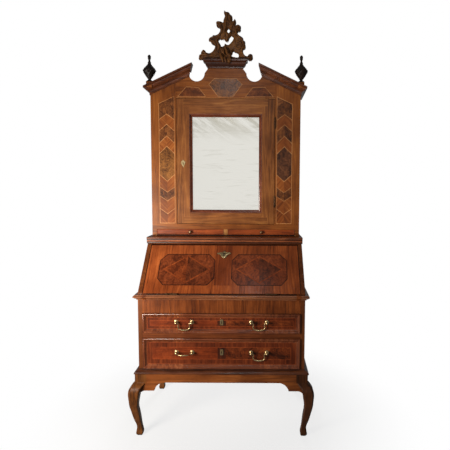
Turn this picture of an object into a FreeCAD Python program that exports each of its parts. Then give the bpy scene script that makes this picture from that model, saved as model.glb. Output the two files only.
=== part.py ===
import FreeCAD, Part
import math
import os
import Sketcher

# Slant-front desk with a mirrored upper cabinet, on a stand with cabriole legs.
# Millimetres, +Z up, the front faces -Y, +X is the viewer's right.

doc = FreeCAD.newDocument("Escritoire")
sheet = doc.addObject("Spreadsheet::Sheet", "Sizes")

SIZES = {
    # stand
    "stand_side": 17, "stand_front": 20, "stand_back_inset": 34, "apron_height": 45,
    "leg_height": 290, "leg_square": 60, "shoulder_drop": 14, "shoulder_reach": 16,
    "knee_drop": 50, "knee_reach": 31.5, "knee_size": 59,
    "calf_drop": 156, "calf_reach": 28, "calf_size": 39, "ankle_height": 40, "ankle_reach": 12,
    "ankle_size": 28, "foot_height": 24, "foot_size": 35, "apron_thick": 22,
    "bracket_span": 90, "bracket_drop": 82, "bracket_lobe": 40, "bracket_height": 44, "bracket_root": 44,
    "base_reach": 22, "base_height": 22,
    # desk carcase
    "cabinet_ledge": 9, "carcase_depth": 545, "side_thick": 22, "bottom_thick": 22,
    "back_thick": 10, "rail_depth": 40, "lower_drawer_height": 166, "rail_height": 24,
    "upper_drawer_height": 108, "frieze_height": 72, "frieze_thick": 20, "well_floor_thick": 12,
    "floor_rise": 30, "desk_floor_thick": 20, "runner_width": 40, "runner_thick": 20,
    "waist_height": 26, "waist_reach": 21,
    "desk_inside": 236, "nosing_height": 36, "nosing_lap": 11, "nosing_side": 4,
    "desk_top_thick": 24, "lock_rail_depth": 7, "lock_rail_drop": 10,
    # fall front
    "slant_run": 209, "slant_rise": 232, "slant_foot": 4, "fall_thick": 22, "fall_gap": 2.6,
    "fall_top_gap": 7, "fall_side_gap": 0.8, "fall_hinge_inset": 152.2,
    # butt hinges
    "knuckle_radius": 3.5, "hinge_clear": 0.3, "leaf_thick": 1.2, "leaf_width": 18,
    "hinge_length": 64, "pin_radius": 1.6, "pin_clear": 0.05,
    # lopers, well, gallery
    "loper_width": 24, "loper_length": 420, "guide_thick": 14, "slide_clear": 0.3,
    "well_front": 110, "well_depth": 170, "floor_strip": 58, "cover_thick": 10, "ledge_width": 15,
    "pull_radius": 11, "gallery_depth": 190, "gallery_room": 4.4, "gallery_bay": 190,
    "gallery_board": 8, "gallery_row": 66, "gallery_height": 225, "gallery_wall": 6,
    "gallery_knob": 6,
    # long drawers
    "drawer_gap": 1, "front_thick": 18, "front_step": 2, "frame_width": 26, "frame_rise": 10,
    "frame_slope": 9, "box_wall": 12, "box_bottom": 8, "box_depth": 470, "box_low": 14,
    "handle_place": 195, "handle_span": 82, "rosette_radius": 11, "rosette_thick": 4,
    "post_radius": 5.5, "post_tip": 7.5, "bail_standoff": 14, "bail_wire": 2.6, "bail_drop": 36,
    "bail_bend": 14, "bail_inset": 12, "pintle_radius": 2, "plate_thick": 2,
    "key_plate_width": 17, "key_plate_height": 31, "lock_width": 60, "lock_height": 44,
    "lock_thick": 12, "upper_handle_drop": 47, "lower_handle_drop": 77, "bail_raise": 95,
    # upper cabinet
    "pilaster_width": 144, "cabinet_setback": 277, "cabinet_side": 20, "cabinet_base": 6,
    "small_drawer_height": 32, "cabinet_rail": 30, "face_thick": 22, "post_width": 26,
    "divider_width": 24, "floor_thick": 16, "top_thick": 16, "shelf_thick": 16,
    "shelf_low_rise": 233, "shelf_high_rise": 473, "small_front": 14, "small_wall": 8,
    "small_bottom": 5, "small_depth": 225, "knob_radius": 9, "knob_neck": 4, "knob_length": 20,
    # door
    "door_width": 559, "door_height": 710, "door_gap": 2.5, "stile_width": 72, "top_rail": 83,
    "bottom_rail": 64, "sight_width": 17, "sight_thick": 12, "glass_thick": 4, "glass_clear": 1,
    "backboard_thick": 6, "hinge_foot": 128, "hinge_head": 135,
    "door_key_rise": 346, "door_plate_width": 24, "door_plate_height": 44,
    "bolt_length": 34, "bolt_width": 20, "bolt_thick": 7, "bolt_clear": 0.3,
    # pediment
    "cornice_reach": 33, "cornice_height": 58, "cornice_lift": 64, "rake_rise": 128,
    "cornice_lap": 40, "rake_end": 186, "rake_cut": 20, "scoop_place": 163, "scoop_radius": 45,
    "pedestal_half": 97, "pedestal_rise": 105, "cap_reach": 28, "cap_height": 47,
    "plinth_side": 34, "plinth_sink": 8, "plinth_step": 2, "finial_height": 150,
    "finial_radius": 38, "crest_width": 302, "crest_height": 263, "crest_thick": 38,
    "crest_hang": 36, "shield_width": 70, "shield_height": 46, "shield_place": 236,
}

for number, (name, value) in enumerate(SIZES.items(), start=1):
    sheet.set("A%d" % number, name)
    sheet.set("B%d" % number, str(value))
    sheet.setAlias("B%d" % number, name)
doc.recompute()


class Size:
    """A number together with the sheet formula that gives it."""

    def __init__(self, value, text):
        self.value = float(value)
        self.text = text

    def __add__(self, other):
        other = as_size(other)
        return Size(self.value + other.value, "(%s + %s)" % (self.text, other.text))

    def __sub__(self, other):
        other = as_size(other)
        return Size(self.value - other.value, "(%s - %s)" % (self.text, other.text))

    def __mul__(self, other):
        other = as_size(other)
        return Size(self.value * other.value, "(%s * %s)" % (self.text, other.text))

    def __truediv__(self, other):
        other = as_size(other)
        return Size(self.value / other.value, "(%s / %s)" % (self.text, other.text))

    def __neg__(self):
        return Size(-self.value, "(0 - %s)" % self.text)

    def __radd__(self, other):
        return as_size(other) + self

    def __rsub__(self, other):
        return as_size(other) - self

    def __rmul__(self, other):
        return as_size(other) * self


def as_size(thing):
    """The thing itself if it is a Size, or a plain number as one."""
    if isinstance(thing, Size):
        return thing
    return Size(thing, "%.6f" % float(thing))


def root(square):
    """Square root of a Size."""
    return Size(math.sqrt(square.value), "sqrt(%s)" % square.text)


def tie(thing, **formulas):
    """Bind properties to sheet formulas."""
    for name, size in formulas.items():
        thing.setExpression(name, as_size(size).text)


def place(thing, x=0, y=0, z=0):
    """Bind a placement's position to sheet formulas."""
    x, y, z = as_size(x), as_size(y), as_size(z)
    thing.Placement.Base = FreeCAD.Vector(x.value, y.value, z.value)
    thing.setExpression("Placement.Base.x", x.text)
    thing.setExpression("Placement.Base.y", y.text)
    thing.setExpression("Placement.Base.z", z.text)
    return thing


def turn(thing, axis, degrees):
    """Turn a placed thing about an axis by a sheet angle."""
    degrees = as_size(degrees)
    base = thing.Placement.Base
    thing.Placement = FreeCAD.Placement(base, FreeCAD.Rotation(FreeCAD.Vector(*axis), degrees.value))
    thing.setExpression("Placement.Rotation.Angle", degrees.text)
    return thing


s = {name: Size(sheet.get(name), "Sizes." + name) for name in SIZES}


def box(name, x, y, z):
    """Board between two limits on each axis."""
    thing = doc.addObject("Part::Box", name)
    tie(thing, Length=x[1] - as_size(x[0]), Width=y[1] - as_size(y[0]), Height=z[1] - as_size(z[0]))
    return place(thing, x[0], y[0], z[0])


def rod(name, radius, length, base, axis):
    """Round bar from a point along X, Y or Z."""
    thing = doc.addObject("Part::Cylinder", name)
    tie(thing, Radius=radius, Height=length)
    place(thing, *base)
    if axis == "X":
        turn(thing, (0, 1, 0), 90)
    if axis == "Y":
        turn(thing, (-1, 0, 0), 90)
    return thing


def fuse(name, things):
    """One solid from several."""
    thing = doc.addObject("Part::MultiFuse", name)
    thing.Shapes = things
    return thing


def cut(name, base, tool):
    """Base without the tool."""
    thing = doc.addObject("Part::Cut", name)
    thing.Base = base
    thing.Tool = tool
    return thing


def common(name, base, tool):
    """What the two share."""
    thing = doc.addObject("Part::Common", name)
    thing.Base = base
    thing.Tool = tool
    return thing


def mirror(name, source, normal=(1, 0, 0), base=None):
    """Mirror image of a piece across the middle of the object, or a plane square to Y."""
    thing = doc.addObject("Part::Mirroring", name)
    thing.Source = source
    thing.Normal = FreeCAD.Vector(*normal)
    if base is not None:
        thing.Base = FreeCAD.Vector(0, base.value, 0)
        thing.setExpression("Base.y", base.text)
    return thing


NODES = []


def node(label, things):
    """Name a finished piece, or a set of like pieces, as one node."""
    if not isinstance(things, list):
        things = [things]
    thing = things[0]
    if len(things) > 1:
        thing = doc.addObject("Part::Compound", label)
        thing.Links = things
    thing.Label = label
    NODES.append(thing)
    return thing


def corner(sketch, gid, pos, x, y):
    """Tie one sketch point to the sheet."""
    for kind, size in (("DistanceX", x), ("DistanceY", y)):
        index = sketch.addConstraint(Sketcher.Constraint(kind, -1, 1, gid, pos, size.value))
        sketch.setExpression("Constraints[%d]" % index, size.text)


def outline(sketch, start, steps, closed=True):
    """Straight and round steps from a start point; a round step is x, y, radius, side of its centre."""
    points = [start] + [step[:2] for step in steps]
    points = [(as_size(x), as_size(y)) for x, y in points]
    bends = [step[2:] for step in steps]
    if closed:
        bends.append(())
    edges = []
    for index, bend in enumerate(bends):
        first, last = points[index], points[(index + 1) % len(points)]
        a = FreeCAD.Vector(first[0].value, first[1].value, 0)
        b = FreeCAD.Vector(last[0].value, last[1].value, 0)
        if not bend:
            edges.append((sketch.addGeometry(Part.LineSegment(a, b)), 1, 2))
            continue
        radius, side = as_size(bend[0]), bend[1]
        chord = b - a
        rise = math.sqrt(max(radius.value ** 2 - chord.Length ** 2 / 4, 0))
        middle = (a + b) * 0.5 + FreeCAD.Vector(-chord.y, chord.x, 0) * (side * rise / chord.Length)
        ends = [math.atan2(p.y - middle.y, p.x - middle.x) for p in (a, b)]
        if side < 0:
            ends.reverse()
        circle = Part.Circle(middle, FreeCAD.Vector(0, 0, 1), radius.value)
        gid = sketch.addGeometry(Part.ArcOfCircle(circle, ends[0], ends[1]))
        edges.append((gid, 1, 2) if side > 0 else (gid, 2, 1))
        index = sketch.addConstraint(Sketcher.Constraint("Radius", gid, radius.value))
        sketch.setExpression("Constraints[%d]" % index, radius.text)
    for index, edge in enumerate(edges):
        following = edges[(index + 1) % len(edges)]
        if closed or index + 1 < len(edges):
            join = Sketcher.Constraint("Coincident", edge[0], edge[2], following[0], following[1])
            sketch.addConstraint(join)
        corner(sketch, edge[0], edge[1], *points[index])
    if not closed:
        corner(sketch, edges[-1][0], edges[-1][2], *points[-1])


def ring(sketch, x, y, radius):
    """Circle tied to the sheet."""
    x, y, radius = as_size(x), as_size(y), as_size(radius)
    circle = Part.Circle(FreeCAD.Vector(x.value, y.value, 0), FreeCAD.Vector(0, 0, 1), radius.value)
    gid = sketch.addGeometry(circle)
    index = sketch.addConstraint(Sketcher.Constraint("Radius", gid, radius.value))
    sketch.setExpression("Constraints[%d]" % index, radius.text)
    corner(sketch, gid, 3, x, y)


def new_sketch(body, name, plane, offset=None):
    """Sketch on one of the body's own planes."""
    sketch = body.newObject("Sketcher::SketchObject", name)
    support = [p for p in body.Origin.OriginFeatures if p.Role == plane][0]
    sketch.AttachmentSupport = [(support, "")]
    sketch.MapMode = "FlatFace"
    if offset is not None:
        sketch.AttachmentOffset = FreeCAD.Placement(FreeCAD.Vector(0, 0, offset.value), FreeCAD.Rotation())
        sketch.setExpression("AttachmentOffset.Base.z", offset.text)
    return sketch


def pad(name, plane, start, steps, length, holes=(), rings=()):
    """Body made by padding an outline: +X from YZ, +Y from XZ, +Z from XY."""
    body = doc.addObject("PartDesign::Body", name)
    sketch = new_sketch(body, name + "_outline", plane)
    outline(sketch, start, steps)
    for hole in holes:
        outline(sketch, hole[0], hole[1])
    for hole in rings:
        ring(sketch, *hole)
    feature = body.newObject("PartDesign::Pad", name + "_pad")
    feature.Profile = sketch
    tie(feature, Length=length)
    feature.Reversed = plane == "XZ_Plane"
    return body


def turned(name, plane, start, steps):
    """Body turned about the sketch's upright axis."""
    body = doc.addObject("PartDesign::Body", name)
    sketch = new_sketch(body, name + "_outline", plane)
    outline(sketch, start, steps)
    feature = body.newObject("PartDesign::Revolution", name + "_turn")
    feature.Profile = sketch
    feature.ReferenceAxis = (sketch, ["V_Axis"])
    feature.Angle = 360
    return body


def strips(name, profile, half, front, back, reach, low, high):
    """Mitred moulding on the front and both sides of a case; profile steps are reach, height, bend."""
    def steps(wall):
        return [(wall - p[0], low + p[1]) + tuple(p[2:]) for p in profile]
    across = steps(front)
    long = pad(name + "_long", "YZ_Plane", across[0], across[1:], 2 * (half + reach))
    place(long, -(half + reach))
    sides = steps(-half)
    side = pad(name + "_run", "XZ_Plane", sides[0], sides[1:], back - front + reach)
    place(side, 0, front - reach)
    corner_x, corner_y = -(half + reach), front - reach
    plan = pad(name + "_plan", "XY_Plane", (-half, front), [(corner_x, corner_y), (-corner_x, corner_y),
               (half, front)], high - low)
    place(plan, 0, 0, low)
    flank = pad(name + "_flank", "XY_Plane", (-half, front), [(-half, back), (corner_x, back),
                (corner_x, corner_y)], high - low)
    place(flank, 0, 0, low)
    left = common(name + "_left", side, flank)
    return common(name + "_front", long, plan), left, mirror(name + "_right", left)


# Levels and faces that the pieces share
door_half = s["door_width"] / 2
opening = door_half + s["door_gap"]
wide = opening + s["pilaster_width"]
half = wide + s["cabinet_ledge"]
inner = half - s["side_thick"]
reach_front = s["stand_front"] - s["leg_square"] / 2 + s["knee_reach"] + s["knee_size"] / 2
front = -(s["carcase_depth"] - reach_front) / 2
back = front + s["carcase_depth"]
inside_back = back - s["back_thick"]
base_z = s["leg_height"] + s["apron_height"]
low_z = base_z + s["bottom_thick"]
low_top = low_z + s["lower_drawer_height"]
up_z = low_top + s["rail_height"]
up_top = up_z + s["upper_drawer_height"]
frieze_top = up_top + s["frieze_height"]
floor_z = frieze_top + s["floor_rise"]
under_z = floor_z + s["desk_inside"]
ledge_z = under_z + s["nosing_height"]
top_under = ledge_z - s["desk_top_thick"]
cabinet_front = front + s["cabinet_setback"]
face_back = cabinet_front + s["face_thick"]
cabinet_inner = wide - s["cabinet_side"]
base_top = ledge_z + s["cabinet_base"]
rail_low = base_top + s["small_drawer_height"]
rail_top = rail_low + s["cabinet_rail"]
door_low = rail_top + s["door_gap"]
door_high = door_low + s["door_height"]
board_low = door_high + s["door_gap"]
cornice_corner = door_high + s["cornice_lift"]
cornice_end = cornice_corner + s["rake_rise"]
slope = s["slant_run"] / s["slant_rise"]
slant_length = root(s["slant_run"] * s["slant_run"] + s["slant_rise"] * s["slant_rise"])
lean_y = s["slant_run"] / slant_length
lean_z = s["slant_rise"] / slant_length
lean = Size(-math.degrees(math.atan2(s["slant_run"].value, s["slant_rise"].value)),
            "(-1 * atan(%s))" % slope.text)


def slant(z):
    """Y of the slanted front plane at a height."""
    return front + (z - floor_z - s["slant_foot"]) * slope


# Stand: apron rails between the leg blocks
stand_half = half + s["stand_side"]
stand_front = front - s["stand_front"]
stand_back = back - s["stand_back_inset"]
block_x = stand_half - s["leg_square"]
block_y = stand_front + s["leg_square"]
block_back = stand_back - s["leg_square"]
apron_z = (s["leg_height"], base_z)
apron_front = box("apron_front_rail", (-block_x, block_x),
                  (stand_front, stand_front + s["apron_thick"]), apron_z)
apron_left = box("apron_left_rail", (-stand_half, -stand_half + s["apron_thick"]),
                 (block_y, block_back), apron_z)
apron_right = mirror("apron_right_rail", apron_left)
apron_rear = box("apron_rear_rail", (-block_x, block_x), (stand_back - s["apron_thick"], stand_back), apron_z)
node("apron_rails", [apron_front, apron_left, apron_right, apron_rear])

# Cabriole leg: square block above, then rounded square sections down to the foot
leg_x = -stand_half + s["leg_square"] / 2
leg_y = stand_front + s["leg_square"] / 2
leg_body = doc.addObject("PartDesign::Body", "leg_curve")
SECTIONS = [
    (s["leg_height"], as_size(0), s["leg_square"]),
    (s["leg_height"] - s["shoulder_drop"], s["shoulder_reach"], s["leg_square"]),
    (s["leg_height"] - s["knee_drop"], s["knee_reach"], s["knee_size"]),
    (s["leg_height"] - (2 * s["knee_drop"] + s["calf_drop"]) / 3, s["knee_reach"] + 2,
     (s["knee_size"] + s["calf_size"]) / 2 + 2),
    (s["leg_height"] - (s["knee_drop"] + 2 * s["calf_drop"]) / 3, (s["knee_reach"] + s["calf_reach"]) / 2 + 4,
     s["calf_size"] * 1.1),
    (s["leg_height"] - s["calf_drop"], s["calf_reach"], s["calf_size"]),
    ((s["leg_height"] - s["calf_drop"] + s["ankle_height"]) / 2, (s["calf_reach"] + s["ankle_reach"]) / 2,
     (s["calf_size"] + s["ankle_size"]) / 2),
    (s["ankle_height"], s["ankle_reach"], s["ankle_size"]),
    (s["foot_height"] * 0.75, s["ankle_reach"], s["foot_size"]),
    (as_size(0), s["ankle_reach"], s["foot_size"] - 7),
]
leg_sketches = []
for number, (height, out, size) in enumerate(SECTIONS):
    sketch = new_sketch(leg_body, "leg_section_%d" % number, "XY_Plane", height)
    x, y, h, r = leg_x - out, leg_y - out, size / 2, size / 6
    outline(sketch, (x - h + r, y - h), [
        (x + h - r, y - h), (x + h, y - h + r, r, 1), (x + h, y + h - r), (x + h - r, y + h, r, 1),
        (x - h + r, y + h), (x - h, y + h - r, r, 1), (x - h, y - h + r), (x - h + r, y - h, r, 1)][:-1])
    leg_sketches.append(sketch)
leg_loft = leg_body.newObject("PartDesign::AdditiveLoft", "leg_loft")
leg_loft.Profile = leg_sketches[0]
leg_loft.Sections = leg_sketches[1:]
leg_block = box("leg_block", (-stand_half, -block_x), (stand_front, block_y), (s["leg_height"], base_z))
leg = fuse("leg_front_left_whole", [leg_block, leg_body])
stand_middle = (stand_front + stand_back) / 2
leg_fr = mirror("leg_front_right_whole", leg)
leg_bl = mirror("leg_back_left_whole", leg, (0, 1, 0), stand_middle)
leg_br = mirror("leg_back_right_whole", leg_fr, (0, 1, 0), stand_middle)
node("leg_front_left", leg)
node("leg_front_right", leg_fr)
node("leg_back_left", leg_bl)
node("leg_back_right", leg_br)

# Scalloped knee brackets under the apron beside each leg
lobe, drop = s["bracket_lobe"], s["bracket_drop"]
tip = s["leg_height"] - drop


def bracket(name, plane, wall, sense):
    """Bracket outline along one rail, from the leg block inwards."""
    a, b = wall + sense * s["bracket_span"], wall + sense * lobe
    c, top = wall - sense * s["bracket_root"], s["leg_height"]
    flat = top - s["bracket_height"]
    return pad(name, plane, (b, flat), [(a, top, s["bracket_span"] * 0.62, -sense), (c, top), (c, tip),
               (wall - sense * lobe / 5, flat, lobe, -sense)], s["apron_thick"])


front_plate = place(bracket("bracket_front", "XZ_Plane", -block_x, 1), 0, stand_front)
front_left = cut("bracket_front_left", front_plate, leg)
side_plate = place(bracket("bracket_side", "YZ_Plane", block_y, 1), -stand_half)
side_left = cut("bracket_side_left", side_plate, leg)
side_right = mirror("bracket_side_right", side_left)
rear_left = mirror("bracket_rear_left", side_left, (0, 1, 0), stand_middle)
rear_right = mirror("bracket_rear_right", rear_left)
node("knee_brackets", [front_left, mirror("bracket_front_right", front_left), side_left, side_right,
                       rear_left, rear_right])

# Base moulding where the carcase sits on the stand
base = strips("base", [(0, 0), (s["base_reach"], 0), (s["base_reach"], 5), (7, s["base_height"] - 6, 20, -1),
              (4, s["base_height"] - 4), (4, s["base_height"]), (0, s["base_height"])],
              half, front, back, s["base_reach"], base_z, base_z + s["base_height"])
node("base_moulding", list(base))

# Desk carcase
side_left = pad("carcase_left", "YZ_Plane", (front, base_z), [(back, base_z), (back, top_under),
                (slant(top_under), top_under), (front, floor_z + s["slant_foot"])], s["side_thick"])
place(side_left, -half)
node("carcase_side_left", side_left)
node("carcase_side_right", mirror("carcase_right", side_left))
node("carcase_bottom", box("carcase_floor", (-inner, inner), (front, inside_back), (base_z, low_z)))

rake = s["rake_rise"] / (wide + s["cornice_reach"] - s["rake_end"])


def rake_top(x):
    """Height of the raking cornice's top edge at a distance from the middle."""
    return cornice_corner + (wide + s["cornice_reach"] - x) * rake


cabinet_roof = cornice_corner - s["cornice_lap"]
lower_back = box("carcase_back_board", (-inner, inner), (inside_back, back), (base_z, top_under))
upper_back = box("cabinet_back_board", (-cabinet_inner, cabinet_inner), (inside_back, back),
                 (ledge_z, cabinet_roof))
node("back_boards", [lower_back, upper_back])

middle_rail = box("middle_rail", (-inner, inner), (front, front + s["rail_depth"]), (low_top, up_z))
a, b = slant(under_z), slant(top_under)
lock_rail = pad("lock_rail_strip", "YZ_Plane", (a, under_z), [
    (a + s["lock_rail_drop"], under_z - s["lock_rail_drop"]),
    (b + s["lock_rail_depth"], under_z - s["lock_rail_drop"]), (b + s["lock_rail_depth"], top_under),
    (b, top_under)], 2 * inner)
place(lock_rail, -inner)
node("front_rails", [middle_rail, lock_rail])

runner_y = (front + s["rail_depth"], inside_back)
runner_left = box("runner_left", (-inner, -inner + s["runner_width"]), runner_y,
                  (up_z - s["runner_thick"], up_z))
node("drawer_runners", [runner_left, mirror("runner_right", runner_left)])

# Frieze, well and desk floor
loper_out = inner - s["slide_clear"]
loper_in = loper_out - s["loper_width"]
guide_out = loper_in - s["slide_clear"]
guide_in = guide_out - s["guide_thick"]
well_z = up_top + s["well_floor_thick"]
floor_under = floor_z - s["desk_floor_thick"]
node("frieze_panel", box("frieze_board", (-guide_out, guide_out), (front, front + s["frieze_thick"]),
     (well_z, floor_under)))
well_board = box("well_floor_board", (-inner, inner), (front, inside_back), (up_top, well_z))
guide_left = box("loper_guide_left", (-guide_out, -guide_in), (front + s["frieze_thick"], inside_back),
                 (well_z, floor_under))
node("well_box", [well_board, guide_left, mirror("loper_guide_right", guide_left)])

well_half = guide_out - s["floor_strip"]
well_y = front + s["well_front"]
well_end = well_y + s["well_depth"]
cover_z = floor_z - s["slide_clear"] * 3 - s["cover_thick"]
ledge_top = cover_z - s["slide_clear"]
floor_strip = box("floor_front", (-guide_out, guide_out), (front, well_y), (floor_under, floor_z))
floor_left = box("floor_left", (-guide_out, -well_half), (well_y, inside_back), (floor_under, floor_z))
floor_rear = box("floor_rear", (-well_half, well_half), (well_end, inside_back), (floor_under, ledge_top))
cover_ledge = box("cover_ledge_left", (-well_half, -well_half + s["ledge_width"]),
                  (well_y, well_end), (floor_under, ledge_top))
node("desk_floor", [floor_strip, floor_left, mirror("floor_right", floor_left), floor_rear,
                    cover_ledge, mirror("cover_ledge_right", cover_ledge)])
cover_half = well_half - s["slide_clear"]
cover_plate = box("cover_plate", (-cover_half, cover_half), (well_y + s["slide_clear"], well_end),
                  (cover_z, cover_z + s["cover_thick"]))
pull = rod("cover_pull", s["pull_radius"], s["cover_thick"], (0, well_y + 3 * s["pull_radius"], cover_z), "Z")
node("well_cover", cut("well_cover_board", cover_plate, pull))

# Waist moulding, cut at the lopers, whose ends carry their own pieces of it
waist_low = frieze_top
waist_profile = [(0, 0), (5, 0), (8, 6, 8, 1), (s["waist_reach"] - 3, s["waist_height"] - 13, 22, -1),
                 (s["waist_reach"], s["waist_height"] - 12), (s["waist_reach"], s["waist_height"] - 6),
                 (s["waist_reach"] - 6, s["waist_height"], 6, 1), (0, s["waist_height"])]
waist = strips("waist", waist_profile, half, front, back, s["waist_reach"], waist_low,
               waist_low + s["waist_height"])
waist_y = (front - s["waist_reach"], front)
waist_z = (waist_low, waist_low + s["waist_height"])
middle_cut = box("waist_cut_middle", (-guide_out, guide_out), waist_y, waist_z)
loper_cut = box("waist_cut_loper", (-loper_out, -loper_in), waist_y, waist_z)
corner_cut = box("waist_cut_corner", (-half - s["waist_reach"], -inner), waist_y, waist_z)
waist_middle = common("waist_middle", waist[0], middle_cut)
waist_corner = common("waist_corner_left", waist[0], corner_cut)
waist_loper = common("waist_loper_left", waist[0], loper_cut)
waist_other = mirror("waist_corner_right", waist_corner)
node("waist_moulding", [waist_middle, waist_corner, waist_other, waist[1], waist[2]])
loper_board = box("loper_board_left", (-loper_out, -loper_in), (front, front + s["loper_length"]),
                  (well_z + s["slide_clear"], floor_z))
node("loper_left", [loper_board, waist_loper])
node("loper_right", [mirror("loper_board_right", loper_board), mirror("waist_loper_right", waist_loper)])

# Desk top and its nosing
node("desk_top", box("desk_top_board", (-half, half), (b, back), (top_under, ledge_z)))
nose_y = a - s["nosing_lap"]
nose = pad("nosing_front", "YZ_Plane", (nose_y + 5, under_z), [
    (a, under_z), (b, top_under), (b, ledge_z), (nose_y + 3, ledge_z),
    (nose_y, ledge_z - 3, 3, 1), (nose_y, ledge_z - 11), (nose_y + 3, ledge_z - 13),
    (nose_y + 3, ledge_z - 16)], 2 * (half + s["nosing_side"]))
place(nose, -(half + s["nosing_side"]))
nose_left = box("nosing_left", (-half - s["nosing_side"], -half), (b, back), (under_z, ledge_z))
node("desk_top_moulding", [nose, nose_left, mirror("nosing_right", nose_left)])

# Gallery behind the fall: uprights, shelves, top and two drawers
gy = (inside_back - s["gallery_depth"], inside_back)
gb, gh, bay = s["gallery_board"], guide_out - s["gallery_room"], s["gallery_bay"]
g_top = floor_z + s["gallery_height"]
g_low = floor_z + gb
row_top = floor_z + s["gallery_row"]
under = box("gallery_bottom", (-gh, gh), gy, (floor_z, g_low))
outer_up = box("gallery_end_left", (-gh, -gh + gb), gy, (g_low, g_top - gb))
inner_up = box("gallery_upright_left", (-bay - gb / 2, -bay + gb / 2), gy, (g_low, g_top - gb))
roof = box("gallery_top", (-gh, gh), gy, (g_top - gb, g_top))
shelf = box("gallery_shelf_left", (-gh + gb, -bay - gb / 2), gy, (row_top, row_top + gb))
split_x = (gh + bay) / 2
split = box("gallery_split_left", (-split_x - gb / 2, -split_x + gb / 2), gy, (row_top + gb, g_top - gb))
mid_shelf = box("gallery_mid_shelf", (-bay + gb / 2, bay - gb / 2), gy, (row_top + gb, row_top + 2 * gb))
node("gallery_frame", [under, outer_up, mirror("gallery_end_right", outer_up), inner_up,
                       mirror("gallery_upright_right", inner_up), roof, shelf,
                       mirror("gallery_shelf_right", shelf), split,
                       mirror("gallery_split_right", split), mid_shelf])


def drawer_box(name, x, y, z, wall, bottom):
    """Two sides, back and bottom of a drawer behind its front."""
    left = box(name + "_left", (x[0], x[0] + wall), y, z)
    right = box(name + "_right", (x[1] - wall, x[1]), y, z)
    rear = box(name + "_rear", (x[0] + wall, x[1] - wall), (y[1] - wall, y[1]), z)
    floor = box(name + "_bottom", (x[0] + wall, x[1] - wall), (y[0], y[1] - wall), (z[0], z[0] + bottom))
    return [left, right, rear, floor]


clear = s["slide_clear"]
gx = (-gh + gb + clear, -bay - gb / 2 - clear)
gz = (g_low + clear, row_top - clear)
g_front = box("gallery_drawer_front", gx, (gy[0], gy[0] + gb), gz)
g_box = drawer_box("gallery_case", gx, (gy[0] + gb, inside_back - 4), gz,
                   s["gallery_wall"], s["gallery_wall"])
g_knob = doc.addObject("Part::Sphere", "gallery_drawer_knob")
tie(g_knob, Radius=s["gallery_knob"])
place(g_knob, (gx[0] + gx[1]) / 2, gy[0] - s["gallery_knob"], (gz[0] + gz[1]) / 2)
g_pull = cut("gallery_drawer_pull", g_knob, g_front)
node("gallery_drawer_left", [g_front] + g_box + [g_pull])
node("gallery_drawer_right", [mirror("gallery_right_%d" % i, piece)
                              for i, piece in enumerate([g_front] + g_box + [g_pull])])

# Fall front: flat bevel under, square edge above
fall_low = floor_z + s["fall_gap"]
fall_high = under_z - s["fall_top_gap"]
fall_half = inner - s["fall_side_gap"]
depth = s["fall_thick"]
fall = pad("fall_panel", "YZ_Plane", (slant(fall_low), fall_low), [
    (slant(fall_low) + depth / lean_z, fall_low),
    (slant(fall_high) + depth * lean_z, fall_high - depth * lean_y), (slant(fall_high), fall_high)],
    2 * fall_half)
place(fall, -fall_half)
node("fall_board", fall)


def on_fall(thing, x, along, inward):
    """Place a thing on the slanted plane: along it from its lower edge, and inward from its face."""
    place(thing, x, slant(fall_low) + along * lean_y + inward * lean_z,
          fall_low + along * lean_z - inward * lean_y)
    return turn(thing, (1, 0, 0), lean)


def fall_box(name, x, along, inward):
    """Board in the fall's own directions."""
    thing = doc.addObject("Part::Box", name)
    tie(thing, Length=x[1] - as_size(x[0]), Width=inward[1] - as_size(inward[0]),
        Height=along[1] - as_size(along[0]))
    return on_fall(thing, as_size(x[0]), as_size(along[0]), as_size(inward[0]))


# Key plate cut for a key: a round eye over a slot
def key_plate(name, width, height, steps=None):
    """Plate in the XZ plane about its own middle, its face towards -Y."""
    w, h = width / 2, height / 2
    r = width / 4
    if steps is None:
        steps = [(-w, -h + r), (-w + r, -h, r, 1), (w - r, -h), (w, -h + r, r, 1), (w, h - r),
                 (w - r, h, r, 1), (-w + r, h), (-w, h - r, r, 1)]
    slot = [(-1.5, -8), [(1.5, -8), (1.5, 0), (3, 3), (0, 6), (-3, 3), (-1.5, 0)]]
    return pad(name, "XZ_Plane", steps[0], steps[1:], s["plate_thick"], [slot])


sw, sh = s["shield_width"] / 2, s["shield_height"] / 2
shield = key_plate("fall_shield", s["shield_width"], s["shield_height"], [
    (0, -sh), (sw - 20, -sh + 12, 30, 1), (sw - 16, -2, 20, -1), (sw, sh - 10, 40, -1),
    (sw - 14, sh - 8, 14, 1), (9, sh - 12, 30, -1), (0, sh, 16, -1), (-9, sh - 12, 16, -1),
    (-sw + 14, sh - 8, 30, -1),
    (-sw, sh - 10, 14, 1), (-sw + 16, -2, 40, -1), (-sw + 20, -sh + 12, 20, -1)])
on_fall(shield, as_size(0), s["shield_place"], -s["plate_thick"])
fall_length = (fall_high - fall_low) / lean_z
lock_half = s["lock_width"] / 2
bolt_half = s["bolt_width"] / 2
bolt_in = depth + 2
gap = s["bolt_clear"]
fall_case = fall_box("fall_lock_case", (-lock_half, lock_half),
                     (fall_length - 6 - s["lock_height"], fall_length - 6), (depth, depth + s["lock_thick"]))
fall_slot = fall_box("fall_lock_slot", (-bolt_half - gap, bolt_half + gap),
                     (fall_length - 1 - s["bolt_length"] - gap, fall_length),
                     (bolt_in - gap, bolt_in + s["bolt_thick"] + gap))
node("fall_lock", [shield, cut("fall_lock_body", fall_case, fall_slot)])
node("fall_lock_bolt", fall_box("fall_bolt", (-bolt_half, bolt_half),
     (fall_length - 1 - s["bolt_length"], fall_length - 1), (bolt_in, bolt_in + s["bolt_thick"])))


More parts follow.
